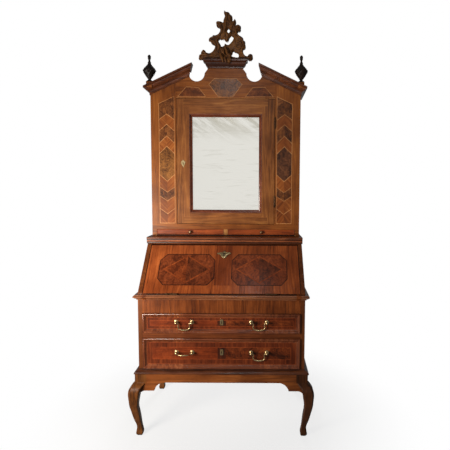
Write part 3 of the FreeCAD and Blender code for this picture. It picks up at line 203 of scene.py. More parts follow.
class Effects:
    """Shader groups that several finishes share, each built once."""

    tones = [("Light", "Color"), ("Mid", "Color"), ("Dark", "Color")]
    looks = [("Color", "Color"), ("Height", "Float"), ("Gloss", "Float")]
    tone_marks = (0.32, 0.5, 0.68)

    @staticmethod
    def start(name: str, inputs: Sequence[tuple[str, str]], outputs: Sequence[tuple[str, str]]
              ) -> tuple[Graph, dict[str, Socket], bpy.types.Node]:
        """Makes an empty group with its sockets.

        Args:
            name: Name of the group.
            inputs: Label and kind of each input.
            outputs: Label and kind of each output.

        Returns:
            The graph, the input sockets by label, and the output node.
        """
        tree = bpy.data.node_groups.new(name, "ShaderNodeTree")
        for way, sockets in (("INPUT", inputs), ("OUTPUT", outputs)):
            for label, kind in sockets:
                tree.interface.new_socket(label, in_out=way, socket_type="NodeSocket" + kind)
        given = tree.nodes.new("NodeGroupInput")
        return Graph(tree), {s.name: s for s in given.outputs}, tree.nodes.new("NodeGroupOutput")

    @staticmethod
    def three_tones(g: Graph, tone: Any, take: dict[str, Socket]) -> Socket:
        """Runs from the dark to the middle to the light colour of a wood.

        Args:
            g: Graph to work in.
            tone: Number from 0, dark, to 1, light.
            take: Sockets with the Dark, Mid and Light colours.

        Returns:
            The colour.
        """
        dark, mid, light = Effects.tone_marks
        low = g.mix(g.ease(tone, dark, mid), take["Dark"], take["Mid"])
        return g.mix(g.ease(tone, mid, light), low, take["Light"])

    @staticmethod
    def swayed(g: Graph, place: Any, bend: bpy.types.Node, by: Place) -> Socket:
        """Moves a place to and fro by the colour of a noise.

        Args:
            g: Graph to work in.
            place: Place to move.
            bend: Noise node.
            by: Reach along each axis.

        Returns:
            The moved place.
        """
        away = g.vector("SUBTRACT", bend.outputs["Color"], (0.5, 0.5, 0.5))
        return g.vector("ADD", place, g.vector("MULTIPLY", away, by))

    @classmethod
    @cache
    def grain(cls) -> bpy.types.NodeTree:
        """Straight grain with growth lines, streaks and pores, running along the vector's Z.

        Returns:
            The group.
        """
        g, take, out = cls.start("wood grain", [("Vector", "Vector"), *cls.tones, ("Figure", "Float")],
                                 cls.looks)
        bend = g.noise(g.vector("MULTIPLY", take["Vector"], (3.0, 3.0, 1.6)), scale=1.0, detail=2.0)
        place = cls.swayed(g, take["Vector"], bend, (0.05, 0.05, 0.0))
        slow = g.streaks(place, by=(11.0, 11.0, 0.8), detail=3.0, rough=0.5)
        lines = g.math("MULTIPLY", g.math("SINE", g.math("MULTIPLY", slow, 62.0)), 0.5)
        streak = g.streaks(place, by=(250.0, 250.0, 3.6), detail=5.0, rough=0.62)
        fine = g.streaks(place, by=(620.0, 620.0, 12.0), detail=2.0, rough=0.5)
        pores = g.ease(g.streaks(place, by=(1100.0, 1100.0, 26.0), detail=1.0), 0.6, 0.74)
        figure = g.math("MULTIPLY", take["Figure"], 0.42)
        tone = g.total((streak, 0.5), (slow, 0.24), (lines, figure), (fine, 0.26))
        colour = g.mix(g.math("MULTIPLY", pores, 0.45), cls.three_tones(g, tone, take), take["Dark"])
        g.feed(out, {"Color": colour, "Height": g.total((streak, 0.5), (pores, -0.8)),
                     "Gloss": g.math("MULTIPLY", g.math("SUBTRACT", streak, 0.5), -0.3)})
        return g.tree

    @classmethod
    @cache
    def burl(cls) -> bpy.types.NodeTree:
        """Clouded root-wood figure with swirls and small eyes.

        Returns:
            The group.
        """
        g, take, out = cls.start("burl figure", [("Vector", "Vector"), *cls.tones], cls.looks)
        place = cls.swayed(g, take["Vector"], g.noise(take["Vector"], scale=11.0), (0.11, 0.11, 0.11))
        long = g.vector("MULTIPLY", place, (1.0, 1.0, 0.55))
        cloud = g.noise(long, scale=17.0, detail=6.0, rough=0.62, twist=0.9).outputs["Fac"]
        eyes = g.add("TexVoronoi", {"Vector": place, "Scale": 34.0}, feature="SMOOTH_F1").outputs["Distance"]
        rings = g.math("SINE", g.math("MULTIPLY", eyes, 30.0))
        fibre = g.streaks(place, by=(60.0, 60.0, 14.0), detail=4.0, rough=0.6)
        tone = g.total((cloud, 0.95), (rings, 0.07), (g.math("SUBTRACT", fibre, 0.5), 0.45))
        colour = g.mix(g.ease(eyes, 0.06, 0.2, 0.5, 0.0), cls.three_tones(g, tone, take), take["Dark"])
        g.feed(out, {"Color": colour, "Height": g.math("MULTIPLY", fibre, 0.5),
                     "Gloss": g.math("MULTIPLY", g.math("SUBTRACT", cloud, 0.5), 0.16)})
        return g.tree

    @classmethod
    @cache
    def age(cls) -> bpy.types.NodeTree:
        """Old polish: uneven depth of colour, grime and painted shade in corners and gaps, and rubbed edges.

        Returns:
            The group.
        """
        g, take, out = cls.start("old polish", [("Color", "Color"), ("Place", "Vector"), ("Soft", "Vector"),
                                                ("Wear", "Float"), ("GrimeAndShade", "Float")],
                                 [("Color", "Color"), ("Dull", "Float")])
        cloud = g.noise(take["Place"], scale=6.0, detail=4.0, rough=0.6).outputs["Fac"]
        patch = g.noise(take["Place"], scale=28.0, detail=3.0, rough=0.6).outputs["Fac"]
        deep = g.stain(g.ease(cloud, 0.34, 0.62, 0.62, 0.0), take["Color"], (0.50, 0.43, 0.40))
        # Corners and gaps that little open sky reaches are darkened: partly grime, partly painted shade.
        shut = g.add("AmbientOcclusion", {"Distance": 0.014}, samples=4).outputs["AO"]
        grime_and_shade = g.math("MULTIPLY", g.ease(shut, 0.35, 0.92, 1.0, 0.0), take["GrimeAndShade"])
        grimed_and_shaded = g.stain(grime_and_shade, deep, (0.22, 0.17, 0.14))
        face = g.add("NewGeometry").outputs["Normal"]
        turn = g.add("VectorMath", {0: face, 1: take["Soft"]}, operation="DOT_PRODUCT").outputs["Value"]
        edge = g.math("MULTIPLY", g.ease(turn, 0.86, 0.99, 1.0, 0.0), g.ease(patch, 0.38, 0.6, 0.25, 1.0))
        worn = g.math("MULTIPLY", edge, take["Wear"])
        g.feed(out, {"Color": g.stain(worn, grimed_and_shaded, (2.1, 1.9, 1.7)),
                     "Dull": g.total((grime_and_shade, 0.25), (g.math("SUBTRACT", patch, 0.5), 0.14))})
        return g.tree


class Lay(Enum):
    """Way the grain runs on a piece, as turns about X and Y where one pair says it."""

    UPRIGHT = (0.0, 0.0)
    ACROSS = (0.0, 90.0)
    DEEP = (90.0, 0.0)
    SLOPED = (42.02, 0.0)
    MOULDED = "along a moulding and along its side returns"
    FRAMED = "up the stiles and along the rails"


@dataclass(frozen=True)
class Finish:
    """A material that is built once and shared by its name."""

    name: str

    def surface(self, g: Graph) -> dict[str, Any]:
        """Builds the nodes of the finish.

        Args:
            g: Graph of the material.

        Returns:
            Inputs of the Principled shader.
        """
        raise NotImplementedError

    def material(self) -> bpy.types.Material:
        """Builds the material, once for each name.

        Returns:
            The material.
        """
        if self.name in bpy.data.materials:
            return bpy.data.materials[self.name]
        material = bpy.data.materials.new(self.name)
        material.use_nodes = True
        material.node_tree.nodes.clear()
        g = Graph(material.node_tree)
        shader = g.add("BsdfPrincipled", self.surface(g))
        g.add("OutputMaterial", {"Surface": shader.outputs[0]})
        return material


@dataclass(frozen=True)
class WoodFinish(Finish):
    """A polished wood, by its colours, the lay of its grain and its age."""

    light: Tone
    mid: Tone
    dark: Tone
    lay: Lay = Lay.UPRIGHT
    tilt: float = 0.0
    burl: float = 0.0
    figure: float = 0.3
    rough: float = 0.34
    wear: float = 0.35
    # Strength of the darkening in corners and gaps: partly grime, partly painted shade.
    grime_and_shade: float = 0.8
    soft: float = 1.2
    shift: float = 0.0
    leaves: float = 0.0
    coat: float = 0.0

    def turned(self, g: Graph, place: Any, lay: Lay) -> Socket:
        """Turns the place so that the grain runs along Z.

        Args:
            g: Graph to work in.
            place: Object coordinates.
            lay: Lay with its two turns.

        Returns:
            The turned vector.
        """
        lean, tilt = lay.value
        start = tuple(self.shift * share for share in SHIFT_SHARES)
        turn = (math.radians(lean), math.radians(tilt + self.tilt), 0.0)
        return g.add("Mapping", {"Vector": place, "Location": start, "Rotation": turn}).outputs[0]

    def vector(self, g: Graph, coordinates: bpy.types.Node) -> Socket:
        """Gives the grain vector for this lay.

        Args:
            g: Graph to work in.
            coordinates: Texture Coordinate node.

        Returns:
            The vector whose Z runs along the grain.
        """
        place = coordinates.outputs["Object"]
        if self.lay is Lay.MOULDED:
            measure, limit, other = coordinates.outputs["Normal"], 0.6, Lay.DEEP
        elif self.lay is Lay.FRAMED:
            measure, limit, other = place, 0.2, Lay.UPRIGHT
        else:
            return self.turned(g, place, self.lay)
        across = g.add("SeparateXYZ", {0: measure}).outputs["X"]
        share = g.math("GREATER_THAN", g.math("ABSOLUTE", across), limit)
        return g.choose(share, self.turned(g, place, Lay.ACROSS), self.turned(g, place, other))

    def surface(self, g: Graph) -> dict[str, Any]:
        """Builds grain, figure, leaves and age.

        Args:
            g: Graph of the material.

        Returns:
            Inputs of the Principled shader.
        """
        coordinates = g.add("TexCoord")
        place = coordinates.outputs["Object"]
        inputs = {"Vector": self.vector(g, coordinates), "Light": tint(self.light), "Mid": tint(self.mid),
                  "Dark": tint(self.dark)}
        if self.burl < 1.0:
            wood = g.feed(g.add("Group", node_tree=Effects.grain()), {**inputs, "Figure": self.figure})
            colour, height, gloss = wood.outputs[0], wood.outputs[1], wood.outputs[2]
        if self.burl > 0.0:
            root = g.feed(g.add("Group", node_tree=Effects.burl()), inputs)
            if self.burl < 1.0:
                colour = g.mix(self.burl, colour, root.outputs[0])
            else:
                colour, height, gloss = root.outputs[0], root.outputs[1], root.outputs[2]
        if self.leaves > 0.0:
            across = g.add("SeparateXYZ", {0: place}).outputs["X"]
            leaf = g.math("FLOOR", g.math("DIVIDE", across, self.leaves * MM))
            chance = g.add("TexWhiteNoise", {"W": leaf}, noise_dimensions="1D").outputs["Value"]
            colour = g.stain(g.ease(chance, 0.0, 1.0, 0.42, 0.0), colour, (0.5, 0.42, 0.38))
        soft = g.add("Bevel", {"Radius": self.soft * MM}, samples=4).outputs["Normal"]
        old = g.feed(g.add("Group", node_tree=Effects.age()),
                     {"Color": colour, "Place": place, "Soft": soft, "Wear": self.wear, "GrimeAndShade": self.grime_and_shade})
        bump = g.add("Bump", {"Height": height, "Strength": 0.16, "Distance": 0.0005, "Normal": soft})
        rough = g.math("ADD", g.math("ADD", gloss, old.outputs["Dull"]), self.rough)
        return {"Base Color": old.outputs["Color"], "Roughness": rough, "Normal": bump.outputs["Normal"],
                "Coat Weight": self.coat, "Coat Roughness": 0.16, "Specular IOR Level": 0.2}


@dataclass(frozen=True)
class MetalFinish(Finish):
    """A cast or forged metal with its tarnish."""

    bright: Tone
    tarnish: Tone
    rough: float

    def surface(self, g: Graph) -> dict[str, Any]:
        """Builds the metal with spots and with tarnish in its corners.

        Args:
            g: Graph of the material.

        Returns:
            Inputs of the Principled shader.
        """
        place = g.add("TexCoord").outputs["Object"]
        spots = g.noise(place, scale=160.0, detail=4.0, rough=0.6).outputs["Fac"]
        shut = g.add("AmbientOcclusion", {"Distance": 0.006}, samples=4).outputs["AO"]
        stain = g.math("MAXIMUM", g.ease(spots, 0.45, 0.68), g.ease(shut, 0.3, 0.85, 1.0, 0.0))
        soft = g.add("Bevel", {"Radius": 0.0006}, samples=4).outputs["Normal"]
        bump = g.add("Bump", {"Height": spots, "Strength": 0.12, "Distance": 0.0004, "Normal": soft})
        return {"Base Color": g.mix(stain, tint(self.bright), tint(self.tarnish)), "Metallic": 1.0,
                "Normal": bump.outputs["Normal"],
                "Roughness": g.ease(stain, 0.0, 1.0, self.rough, self.rough + 0.25)}


@dataclass(frozen=True)
class MirrorFinish(Finish):
    """Old silvered plate with a clouded top and foxed edges, their places in metres."""

    silver: Tone
    fox: Tone
    clouded: Point = (1.54, 1.73)
    foxed_left: Point = (-0.208, -0.176)
    foxed_top: Point = (1.7, 1.726)
    slant: float = -34.0

    def surface(self, g: Graph) -> dict[str, Any]:
        """Builds the silver with smears, wipes and stains.

        Args:
            g: Graph of the material.

        Returns:
            Inputs of the Principled shader.
        """
        place = g.add("TexCoord").outputs["Object"]
        parts = g.add("SeparateXYZ", {0: place}).outputs
        cloud = g.noise(place, scale=7.0, detail=5.0, rough=0.68, twist=0.6).outputs["Fac"]
        spots = g.noise(place, scale=75.0, detail=4.0, rough=0.7).outputs["Fac"]
        turn = (0.0, math.radians(self.slant), 0.0)
        slant = g.add("Mapping", {"Vector": place, "Rotation": turn}).outputs[0]
        smear = g.streaks(slant, by=(5.0, 5.0, 30.0), detail=4.0, rough=0.6)
        wipe = g.streaks(place, by=(7.0, 7.0, 52.0), detail=4.0, rough=0.62)
        crown = g.ease(parts["Z"], *self.clouded)
        rim = g.math("MAXIMUM", g.ease(parts["X"], *self.foxed_left, to_low=1.0, to_high=0.0),
                     g.ease(parts["Z"], *self.foxed_top))
        haze = g.math("ADD", g.math("MULTIPLY", crown, g.ease(smear, 0.36, 0.66)),
                      g.ease(wipe, 0.54, 0.7, 0.0, 0.28))
        stain = g.math("MULTIPLY", rim, g.ease(g.math("MULTIPLY", cloud, spots), 0.24, 0.33))
        colour = g.stain(g.math("MULTIPLY", haze, 0.95), tint(self.silver), (0.62, 0.6, 0.54))
        return {"Base Color": g.mix(g.math("MULTIPLY", stain, 0.8), colour, tint(self.fox)), "Metallic": 1.0,
                "Roughness": g.ease(g.math("ADD", stain, haze), 0.0, 1.4, 0.1, 0.2)}


@dataclass(frozen=True)
class FloorFinish(Finish):
    """A pale floor that fades into the backdrop."""

    near: float = 0.35
    far: float = 1.15
    full: float = 0.26

    def surface(self, g: Graph) -> dict[str, Any]:
        """Builds the fading floor.

        Args:
            g: Graph of the material.

        Returns:
            Inputs of the Principled shader.
        """
        place = g.add("TexCoord").outputs["Object"]
        away = g.add("VectorMath", {0: place}, operation="LENGTH").outputs["Value"]
        return {"Base Color": (0.86, 0.86, 0.86, 1.0), "Roughness": 0.6,
                "Alpha": g.ease(away, self.near, self.far, self.full, 0.0)}


GOLD = ((184, 112, 48), (152, 86, 35), (108, 57, 23))
DOOR_PLAIN = ((190, 124, 63), (158, 96, 48), (112, 64, 31))
DOOR_EDGE = ((188, 123, 62), (150, 90, 44), (93, 52, 25))
RED = ((210, 116, 58), (172, 88, 43), (108, 53, 25))
BROWN = ((158, 92, 54), (112, 60, 32), (56, 28, 15))
ROOT = ((152, 92, 45), (116, 66, 32), (70, 38, 19))
OLIVE = ((182, 120, 56), (146, 92, 41), (92, 54, 24))
AMBER = ((198, 120, 54), (168, 93, 39), (122, 63, 26))
STRING = ((236, 172, 112), (216, 148, 88), (172, 108, 58))
PINE_TONES = ((196, 160, 112), (172, 134, 88), (144, 108, 68))

WALNUT_UP = WoodFinish("walnut upright", *GOLD)
WALNUT_ACROSS = WoodFinish("walnut across", *GOLD, lay=Lay.ACROSS, shift=0.31)
WALNUT_SIDE = WoodFinish("walnut side board", (144, 81, 41), (113, 61, 29), (72, 36, 17), figure=0.25,
                         shift=0.83)
WALNUT_MOULDED = WoodFinish("walnut moulding", *BROWN, lay=Lay.MOULDED, rough=0.26, wear=0.6, coat=0.5)
WALNUT_LEG = WoodFinish("walnut leg", (162, 106, 52), (124, 75, 35), (77, 45, 21), figure=0.25, shift=0.2)
# A darker copy of the walnut leg for the right legs: painted shade, as the light comes from the left.
SHADED_LEG = WoodFinish("shaded walnut leg", (110, 64, 33), (80, 45, 23), (48, 26, 14), figure=0.25, shift=0.6)
WALNUT_APRON = WoodFinish("walnut apron", (172, 102, 50), (138, 76, 35), (90, 47, 22), lay=Lay.MOULDED,
                          shift=0.5)
WALNUT_FRAMED = WoodFinish("walnut door frame", *GOLD, lay=Lay.FRAMED, shift=0.15)
WALNUT_FRIEZE = WoodFinish("walnut frieze", (170, 94, 44), (134, 70, 31), (78, 37, 17), leaves=58.0,
                           shift=0.4)
SIGHT = WoodFinish("sight moulding", (160, 88, 54), (120, 59, 34), (68, 31, 18), lay=Lay.FRAMED, rough=0.24,
                   wear=0.7, coat=0.6)
RED_SLOPE = WoodFinish("red walnut slope", *RED, lay=Lay.SLOPED, rough=0.24, leaves=118.0, shift=0.37)
# A darker copy of the red slope for the right half of the fall's surround: painted shade, as the light comes
# from the left.
RED_SHADED = WoodFinish("red walnut slope in painted shade", (184, 99, 48), (150, 75, 36), (92, 45, 21), lay=Lay.SLOPED,
                        rough=0.24, leaves=118.0, shift=0.37)
# A darker copy of the red slope for the strip down the middle of the fall: painted shade.
RED_CENTRE_SHADE = WoodFinish("red walnut slope centre in painted shade", (156, 78, 38), (124, 58, 27), (76, 34, 16), lay=Lay.SLOPED,
                        rough=0.24, shift=0.62)
# Red walnut for the waist moulding, its colour lifted to paint the highlight along the moulding.
RED_NOSING_HIGHLIT = WoodFinish("red walnut nosing with painted highlight", (194, 130, 86), (154, 94, 58), (94, 54, 32), lay=Lay.MOULDED,
                        rough=0.22, wear=0.9, coat=0.9)
# The bead on the nosing, coloured lighter than the nosing as a painted highlight along it.
LIT_BEAD = WoodFinish("nosing bead with painted highlight", (190, 114, 70), (156, 84, 48), (100, 51, 28), lay=Lay.MOULDED, rough=0.44,
                  wear=0.5, coat=0.08)
# A darker copy of the walnut moulding: painted shade for the shadow lines of the base moulding's steps and
# the dimmer pedestal cap.
SHADED_MOULDED = WoodFinish("shaded walnut moulding", (122, 69, 38), (86, 45, 24), (44, 22, 12), lay=Lay.MOULDED,
                          rough=0.26, wear=0.6, coat=0.5)
# The desk floor's walnut lining, made dark as painted shade for the gap between the fall and the waist
# moulding, where it shows.
SHADED_DESK_LINING = WoodFinish("desk lining in painted shade", (112, 66, 38), (84, 47, 27), (46, 25, 15), lay=Lay.ACROSS, rough=0.5,
                         wear=0.2)
DIVIDER = WoodFinish("pale divider", (214, 158, 96), (186, 126, 68), (138, 86, 44), wear=0.0)
KEYHOLE = WoodFinish("keyhole shade", (26, 17, 12), (18, 12, 9), (10, 7, 5), rough=0.8, wear=0.0)
RED_MOULDED = WoodFinish("red walnut drawer moulding", (160, 93, 54), (124, 64, 34), (75, 35, 18),
                         lay=Lay.FRAMED, rough=0.24, wear=0.15, coat=0.6)
RAIL = WoodFinish("walnut drawer rail", (144, 79, 40), (113, 58, 28), (68, 33, 16), lay=Lay.ACROSS,
                  shift=0.22)
ROOT_LEFT = WoodFinish("root veneer left", *ROOT, burl=1.0, tilt=38.0, wear=0.0)
ROOT_RIGHT = WoodFinish("root veneer right", (164, 102, 52), (128, 75, 38), (80, 45, 23), burl=1.0,
                        tilt=-38.0, wear=0.0, shift=0.6)
OLIVE_ROOT = WoodFinish("olive root veneer", *OLIVE, burl=1.0, wear=0.0, shift=0.3)
DUSKY_ROOT = WoodFinish("dusky root veneer", (132, 82, 50), (102, 61, 38), (64, 37, 23), burl=1.0, wear=0.0,
                        shift=1.3)
AMBER_LEFT = WoodFinish("amber veneer left", (184, 110, 50), (154, 84, 36), (110, 57, 23), tilt=42.0,
                        wear=0.0)
AMBER_RIGHT = WoodFinish("amber veneer right", *AMBER, tilt=-42.0, wear=0.0, shift=0.6)
RUSSET_LEFT = WoodFinish("russet veneer left", (170, 98, 46), (138, 74, 33), (92, 47, 20), tilt=42.0,
                         wear=0.0)
RUSSET_RIGHT = WoodFinish("russet veneer right", (184, 106, 46), (150, 80, 32), (98, 50, 20), tilt=-42.0,
                          wear=0.0)
STRINGING = WoodFinish("pale stringing", *STRING, wear=0.0, grime_and_shade=0.3)
FAINT_STRINGING = WoodFinish("faint stringing", (212, 140, 76), (186, 114, 56), (140, 80, 38), wear=0.0,
                             grime_and_shade=0.3)
RED_STRINGING = WoodFinish("red stringing", (186, 94, 48), (158, 74, 36), (112, 48, 22), wear=0.0, grime_and_shade=0.3)
# Dark stringing round the fall's panels, also laid as painted shade along the fall's rim, in the quirks of
# the nosing and under the shallow drawers.
DARK_STRING_AND_SHADE = WoodFinish("dark string and painted shade", (74, 34, 19), (50, 23, 13), (28, 13, 8), wear=0.0)
FALL_BAND = WoodFinish("fall lozenge band", (172, 86, 40), (144, 67, 30), (104, 45, 19), lay=Lay.SLOPED,
                       wear=0.0)
FALL_ROOT = WoodFinish("fall root veneer", (162, 80, 38), (132, 62, 29), (92, 41, 20), burl=1.0, rough=0.27,
                       lay=Lay.SLOPED, wear=0.0, shift=0.9)
FALL_DUSK = WoodFinish("fall dusky root veneer", (126, 62, 32), (100, 48, 25), (66, 31, 16), burl=1.0,
                       rough=0.27, lay=Lay.SLOPED, wear=0.0, shift=1.7)
FALL_CORNER = WoodFinish("fall corner veneer", (148, 74, 38), (120, 57, 29), (82, 37, 19), burl=1.0,
                         rough=0.27, lay=Lay.SLOPED, wear=0.0, shift=0.4)
DRAWER_BAND = WoodFinish("drawer cross band", (142, 68, 34), (106, 46, 22), (60, 25, 12), shift=0.9, wear=0.0)
DRAWER_FIGURE = WoodFinish("drawer figured veneer", (164, 76, 36), (124, 52, 23), (68, 27, 12), burl=0.35,
                           lay=Lay.ACROSS, wear=0.0, shift=0.7)
DRAWER_ROOT = WoodFinish("drawer root veneer", (158, 80, 38), (112, 50, 23), (56, 24, 12), burl=0.85,
                         lay=Lay.ACROSS, wear=0.0, shift=1.4)
# A dark band down the middle of each drawer, round its lock: a painted dark reflection.
DRAWER_DARK_REFLECTION = WoodFinish("drawer painted dark reflection", (104, 50, 28), (74, 34, 19), (40, 18, 11), wear=0.0, shift=0.2)
SMALL_VENEER = WoodFinish("small drawer veneer", (196, 100, 46), (162, 76, 33), (108, 46, 20), lay=Lay.ACROSS,
                          shift=0.45)
DOOR_STILE = WoodFinish("door stile", *DOOR_PLAIN)
DOOR_RAIL = WoodFinish("door rail", *DOOR_PLAIN, lay=Lay.ACROSS, shift=0.31)
BAND_UP = WoodFinish("door band upright", *DOOR_EDGE, shift=1.1)
BAND_ACROSS = WoodFinish("door band across", *DOOR_EDGE, lay=Lay.ACROSS, shift=1.2)
PINE = WoodFinish("old pine", *PINE_TONES, lay=Lay.ACROSS, rough=0.62, wear=0.2)
PINE_UP = WoodFinish("old pine upright", *PINE_TONES, rough=0.62, wear=0.2)
PINE_DEEP = WoodFinish("old pine deep", *PINE_TONES, lay=Lay.DEEP, rough=0.62, wear=0.2)
# The carving takes the full darkening in its hollows: partly grime, partly painted shade.
CARVED = WoodFinish("carved wood", (172, 116, 62), (130, 84, 44), (78, 47, 25), burl=1.0, rough=0.4, wear=1.0,
                    grime_and_shade=1.0, soft=2.5)
EBONISED = WoodFinish("ebonised wood", (62, 44, 36), (38, 27, 22), (20, 14, 12), rough=0.36, wear=0.6,
                      soft=1.5)
BRASS = MetalFinish("old brass", (214, 188, 140), (118, 94, 58), 0.27)
DARK_BRASS = MetalFinish("dark brass", (196, 164, 124), (96, 70, 46), 0.32)
IRON = MetalFinish("old iron", (96, 72, 52), (50, 36, 27), 0.5)
MIRROR = MirrorFinish("old mirror", (238, 236, 228), (112, 106, 92))


class Bench:
    """Modelling steps that act on one object at a time."""

    @staticmethod
    def clear() -> None:
        """Leaves edit mode and deselects everything."""
        if bpy.context.object is not None and bpy.context.object.mode != "OBJECT":
            bpy.ops.object.mode_set(mode="OBJECT")
        bpy.ops.object.select_all(action="DESELECT")

    @staticmethod
    def take(obj: Piece) -> None:
        """Makes one object the only selected and active one.

        Args:
            obj: Object to take.
        """
        Bench.clear()
        obj.select_set(True)
        bpy.context.view_layer.objects.active = obj

    @staticmethod
    def edit(obj: Piece) -> None:
        """Opens an object in edit mode with all its faces selected.

        Args:
            obj: Object to open.
        """
        Bench.take(obj)
        bpy.ops.object.mode_set(mode="EDIT")
        bpy.ops.mesh.select_mode(type="FACE")
        bpy.ops.mesh.select_all(action="SELECT")

    @staticmethod
    def outward() -> None:
        """Turns the faces of the object in edit mode outwards and leaves it."""
        bpy.ops.mesh.select_all(action="SELECT")
        bpy.ops.mesh.normals_make_consistent(inside=False)
        Bench.clear()

    @staticmethod
    def pick_faces(obj: Piece, test: Callable[[bmesh.types.BMFace], bool]) -> None:
        """Selects in edit mode the faces that pass a test.

        Args:
            obj: Object in edit mode.
            test: Says whether a face is taken.
        """
        mesh = bmesh.from_edit_mesh(obj.data)
        for face in mesh.faces:
            face.select_set(False)
        for face in mesh.faces:
            if test(face):
                face.select_set(True)
        mesh.select_flush_mode()
        bmesh.update_edit_mesh(obj.data)

    @staticmethod
    def mould(obj: Piece, steps: Sequence[Point]) -> None:
        """Opens an object and raises a moulding round its front by insets.

        Args:
            obj: Board to change; it stays in edit mode.
            steps: Width and rise of each inset.
        """
        Bench.edit(obj)
        Bench.pick_faces(obj, lambda f: f.normal.y < FACES_FRONT)
        for width, rise in steps:
            bpy.ops.mesh.inset(thickness=width * MM, depth=rise * MM, use_even_offset=True)

    @staticmethod
    def apply(obj: Piece, kind: str, **settings: Any) -> None:
        """Adds a modifier and applies it.

        Args:
            obj: Object to change.
            kind: Modifier type.
            settings: Properties of the modifier.
        """
        Bench.take(obj)
        modifier = obj.modifiers.new(kind.lower(), kind)
        for key, value in settings.items():
            setattr(modifier, key, value)
        bpy.ops.object.modifier_apply(modifier=modifier.name)

    @staticmethod
    def settle(obj: Piece, matrix: Matrix | None = None) -> None:
        """Puts an object in place with the place in its mesh.

        Args:
            obj: Object to place.
            matrix: Place and turn, if it isn't there yet.
        """
        Bench.take(obj)
        if matrix is not None:
            obj.matrix_world = matrix
        bpy.ops.object.transform_apply(location=True, rotation=True, scale=True)

    @staticmethod
    def smooth(obj: Piece, degrees: float) -> None:
        """Shades an object smooth where its faces meet flatter than an angle."""
        Bench.take(obj)
        bpy.ops.object.shade_smooth_by_angle(angle=math.radians(degrees))

    @staticmethod
    def block(name: str, low: Sequence[float], high: Sequence[float]) -> Piece:
        """Adds a block between two corners.

        Args:
            name: Name of the object.
            low: Lowest corner in millimetres.
            high: Highest corner in millimetres.

        Returns:
            The new object.
        """
        Bench.clear()
        middle = [(a + b) / 2 * MM for a, b in zip(low, high)]
        bpy.ops.mesh.primitive_cube_add(size=1.0, location=middle)
        obj = bpy.context.object
        obj.name = name
        obj.scale = [(b - a) * MM for a, b in zip(low, high)]
        bpy.ops.object.transform_apply(location=True, rotation=True, scale=True)
        return obj

    @staticmethod
    def disc(name: str, count: int, radius: float, place: Place = (0.0, 0.0, 0.0)) -> Piece:
        """Adds a flat filled disc.

        Args:
            name: Name of the object.
            count: Number of corners.
            radius: Radius in metres.
            place: Centre in metres.

        Returns:
            The new object.
        """
        Bench.clear()
        bpy.ops.mesh.primitive_circle_add(vertices=count, radius=radius, fill_type="NGON", location=place)
        obj = bpy.context.object
        obj.name = name
        bpy.ops.object.transform_apply(location=True, rotation=True, scale=True)
        return obj

    @staticmethod
    def tube(name: str, path: Sequence[tuple[Vector, float]], thick: float, rings: int, steps: int
             ) -> Piece:
        """Draws a round bar along a curve and turns it into a mesh.

        Args:
            name: Name of the object.
            path: Place in millimetres and share of the thickness at each bend.
            thick: Radius in millimetres.
            rings: Fineness round the bar.
            steps: Fineness along the bar.

        Returns:
            The new object.
        """
        Bench.clear()
        bpy.ops.curve.primitive_bezier_curve_add()
        obj = bpy.context.object
        obj.name = name
        obj.location = (0.0, 0.0, 0.0)
        curve = obj.data
        bends = curve.splines[0].bezier_points
        bends.add(len(path) - len(bends))
        for bend, (place, share) in zip(bends, path):
            bend.co = place * MM
            bend.handle_left_type = bend.handle_right_type = "AUTO"
            bend.radius = share
        curve.dimensions = "3D"
        curve.bevel_depth, curve.bevel_resolution, curve.resolution_u = thick * MM, rings, steps
        curve.use_fill_caps = True
        Bench.take(obj)
        bpy.ops.object.convert(target="MESH")
        return bpy.context.object

    @staticmethod
    def dress(obj: Piece, *finishes: Finish) -> None:
        """Gives an object its finishes.

        Args:
            obj: Object to dress.
            finishes: Finishes in order of material index.
        """
        if obj.data.materials:
            obj.data.materials.clear()
        for finish in finishes:
            obj.data.materials.append(finish.material())

    @staticmethod
    def done(obj: Piece, body: str, slot: str, *nodes: str) -> None:
        """Parents a finished piece to the empty of its body and hides the CAD nodes it stands for.

        Args:
            obj: Finished piece.
            body: Body it moves with.
            slot: Not used.
            nodes: CAD nodes it stands for.
        """
        Bench.clear()
        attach(obj, body)
        if nodes:
            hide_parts(*nodes)
        log.info("%s on %s", obj.name, body)


def face_matrix(up: Vector, origin: Sequence[float]) -> Matrix:
    """Gives the matrix that lays a flat sheet on a face, its width along X.

    Args:
        up: Direction of the sheet's height.
        origin: Place of the sheet's own origin in millimetres.

    Returns:
        The matrix.
    """
    across = Vector((1, 0, 0))
    matrix = Matrix((across, up, across.cross(up))).transposed().to_4x4()
    matrix.translation = Vector(origin) * MM
    return matrix


UPRIGHT_FACE = face_matrix(Vector((0, 0, 1)), (0.0, CABINET_FRONT, 0.0))
CARCASE_FACE = face_matrix(Vector((0, 0, 1)), (0.0, CARCASE_FRONT, 0.0))
SLOPED_FACE = face_matrix(Vector((0.0, FALL_RUN, FALL_RISE)), (0.0, CARCASE_FRONT - FALL_AHEAD, FALL_FOOT))


def sides(corners: Sequence[Point]) -> list[tuple[Point, Point]]:
    """Gives the sides of a closed outline, each as two points."""
    return list(zip(corners, [*corners[1:], corners[0]]))


def rectangle(half: float, low: float, high: float) -> list[Point]:
    """Gives the corners of an even rectangle, clockwise."""
    return [(-half, low), (-half, high), (half, high), (half, low)]


def beside(a: Point, b: Point, width: float) -> tuple[Point, Point]:
    """Moves a line to its right side.

    Args:
        a: First point of the line.
        b: Second point of the line.
        width: How far it moves.

    Returns:
        The two points of the moved line.
    """
    side = Vector((b[1] - a[1], a[0] - b[0])).normalized() * width
    return (a[0] + side.x, a[1] + side.y), (b[0] + side.x, b[1] + side.y)


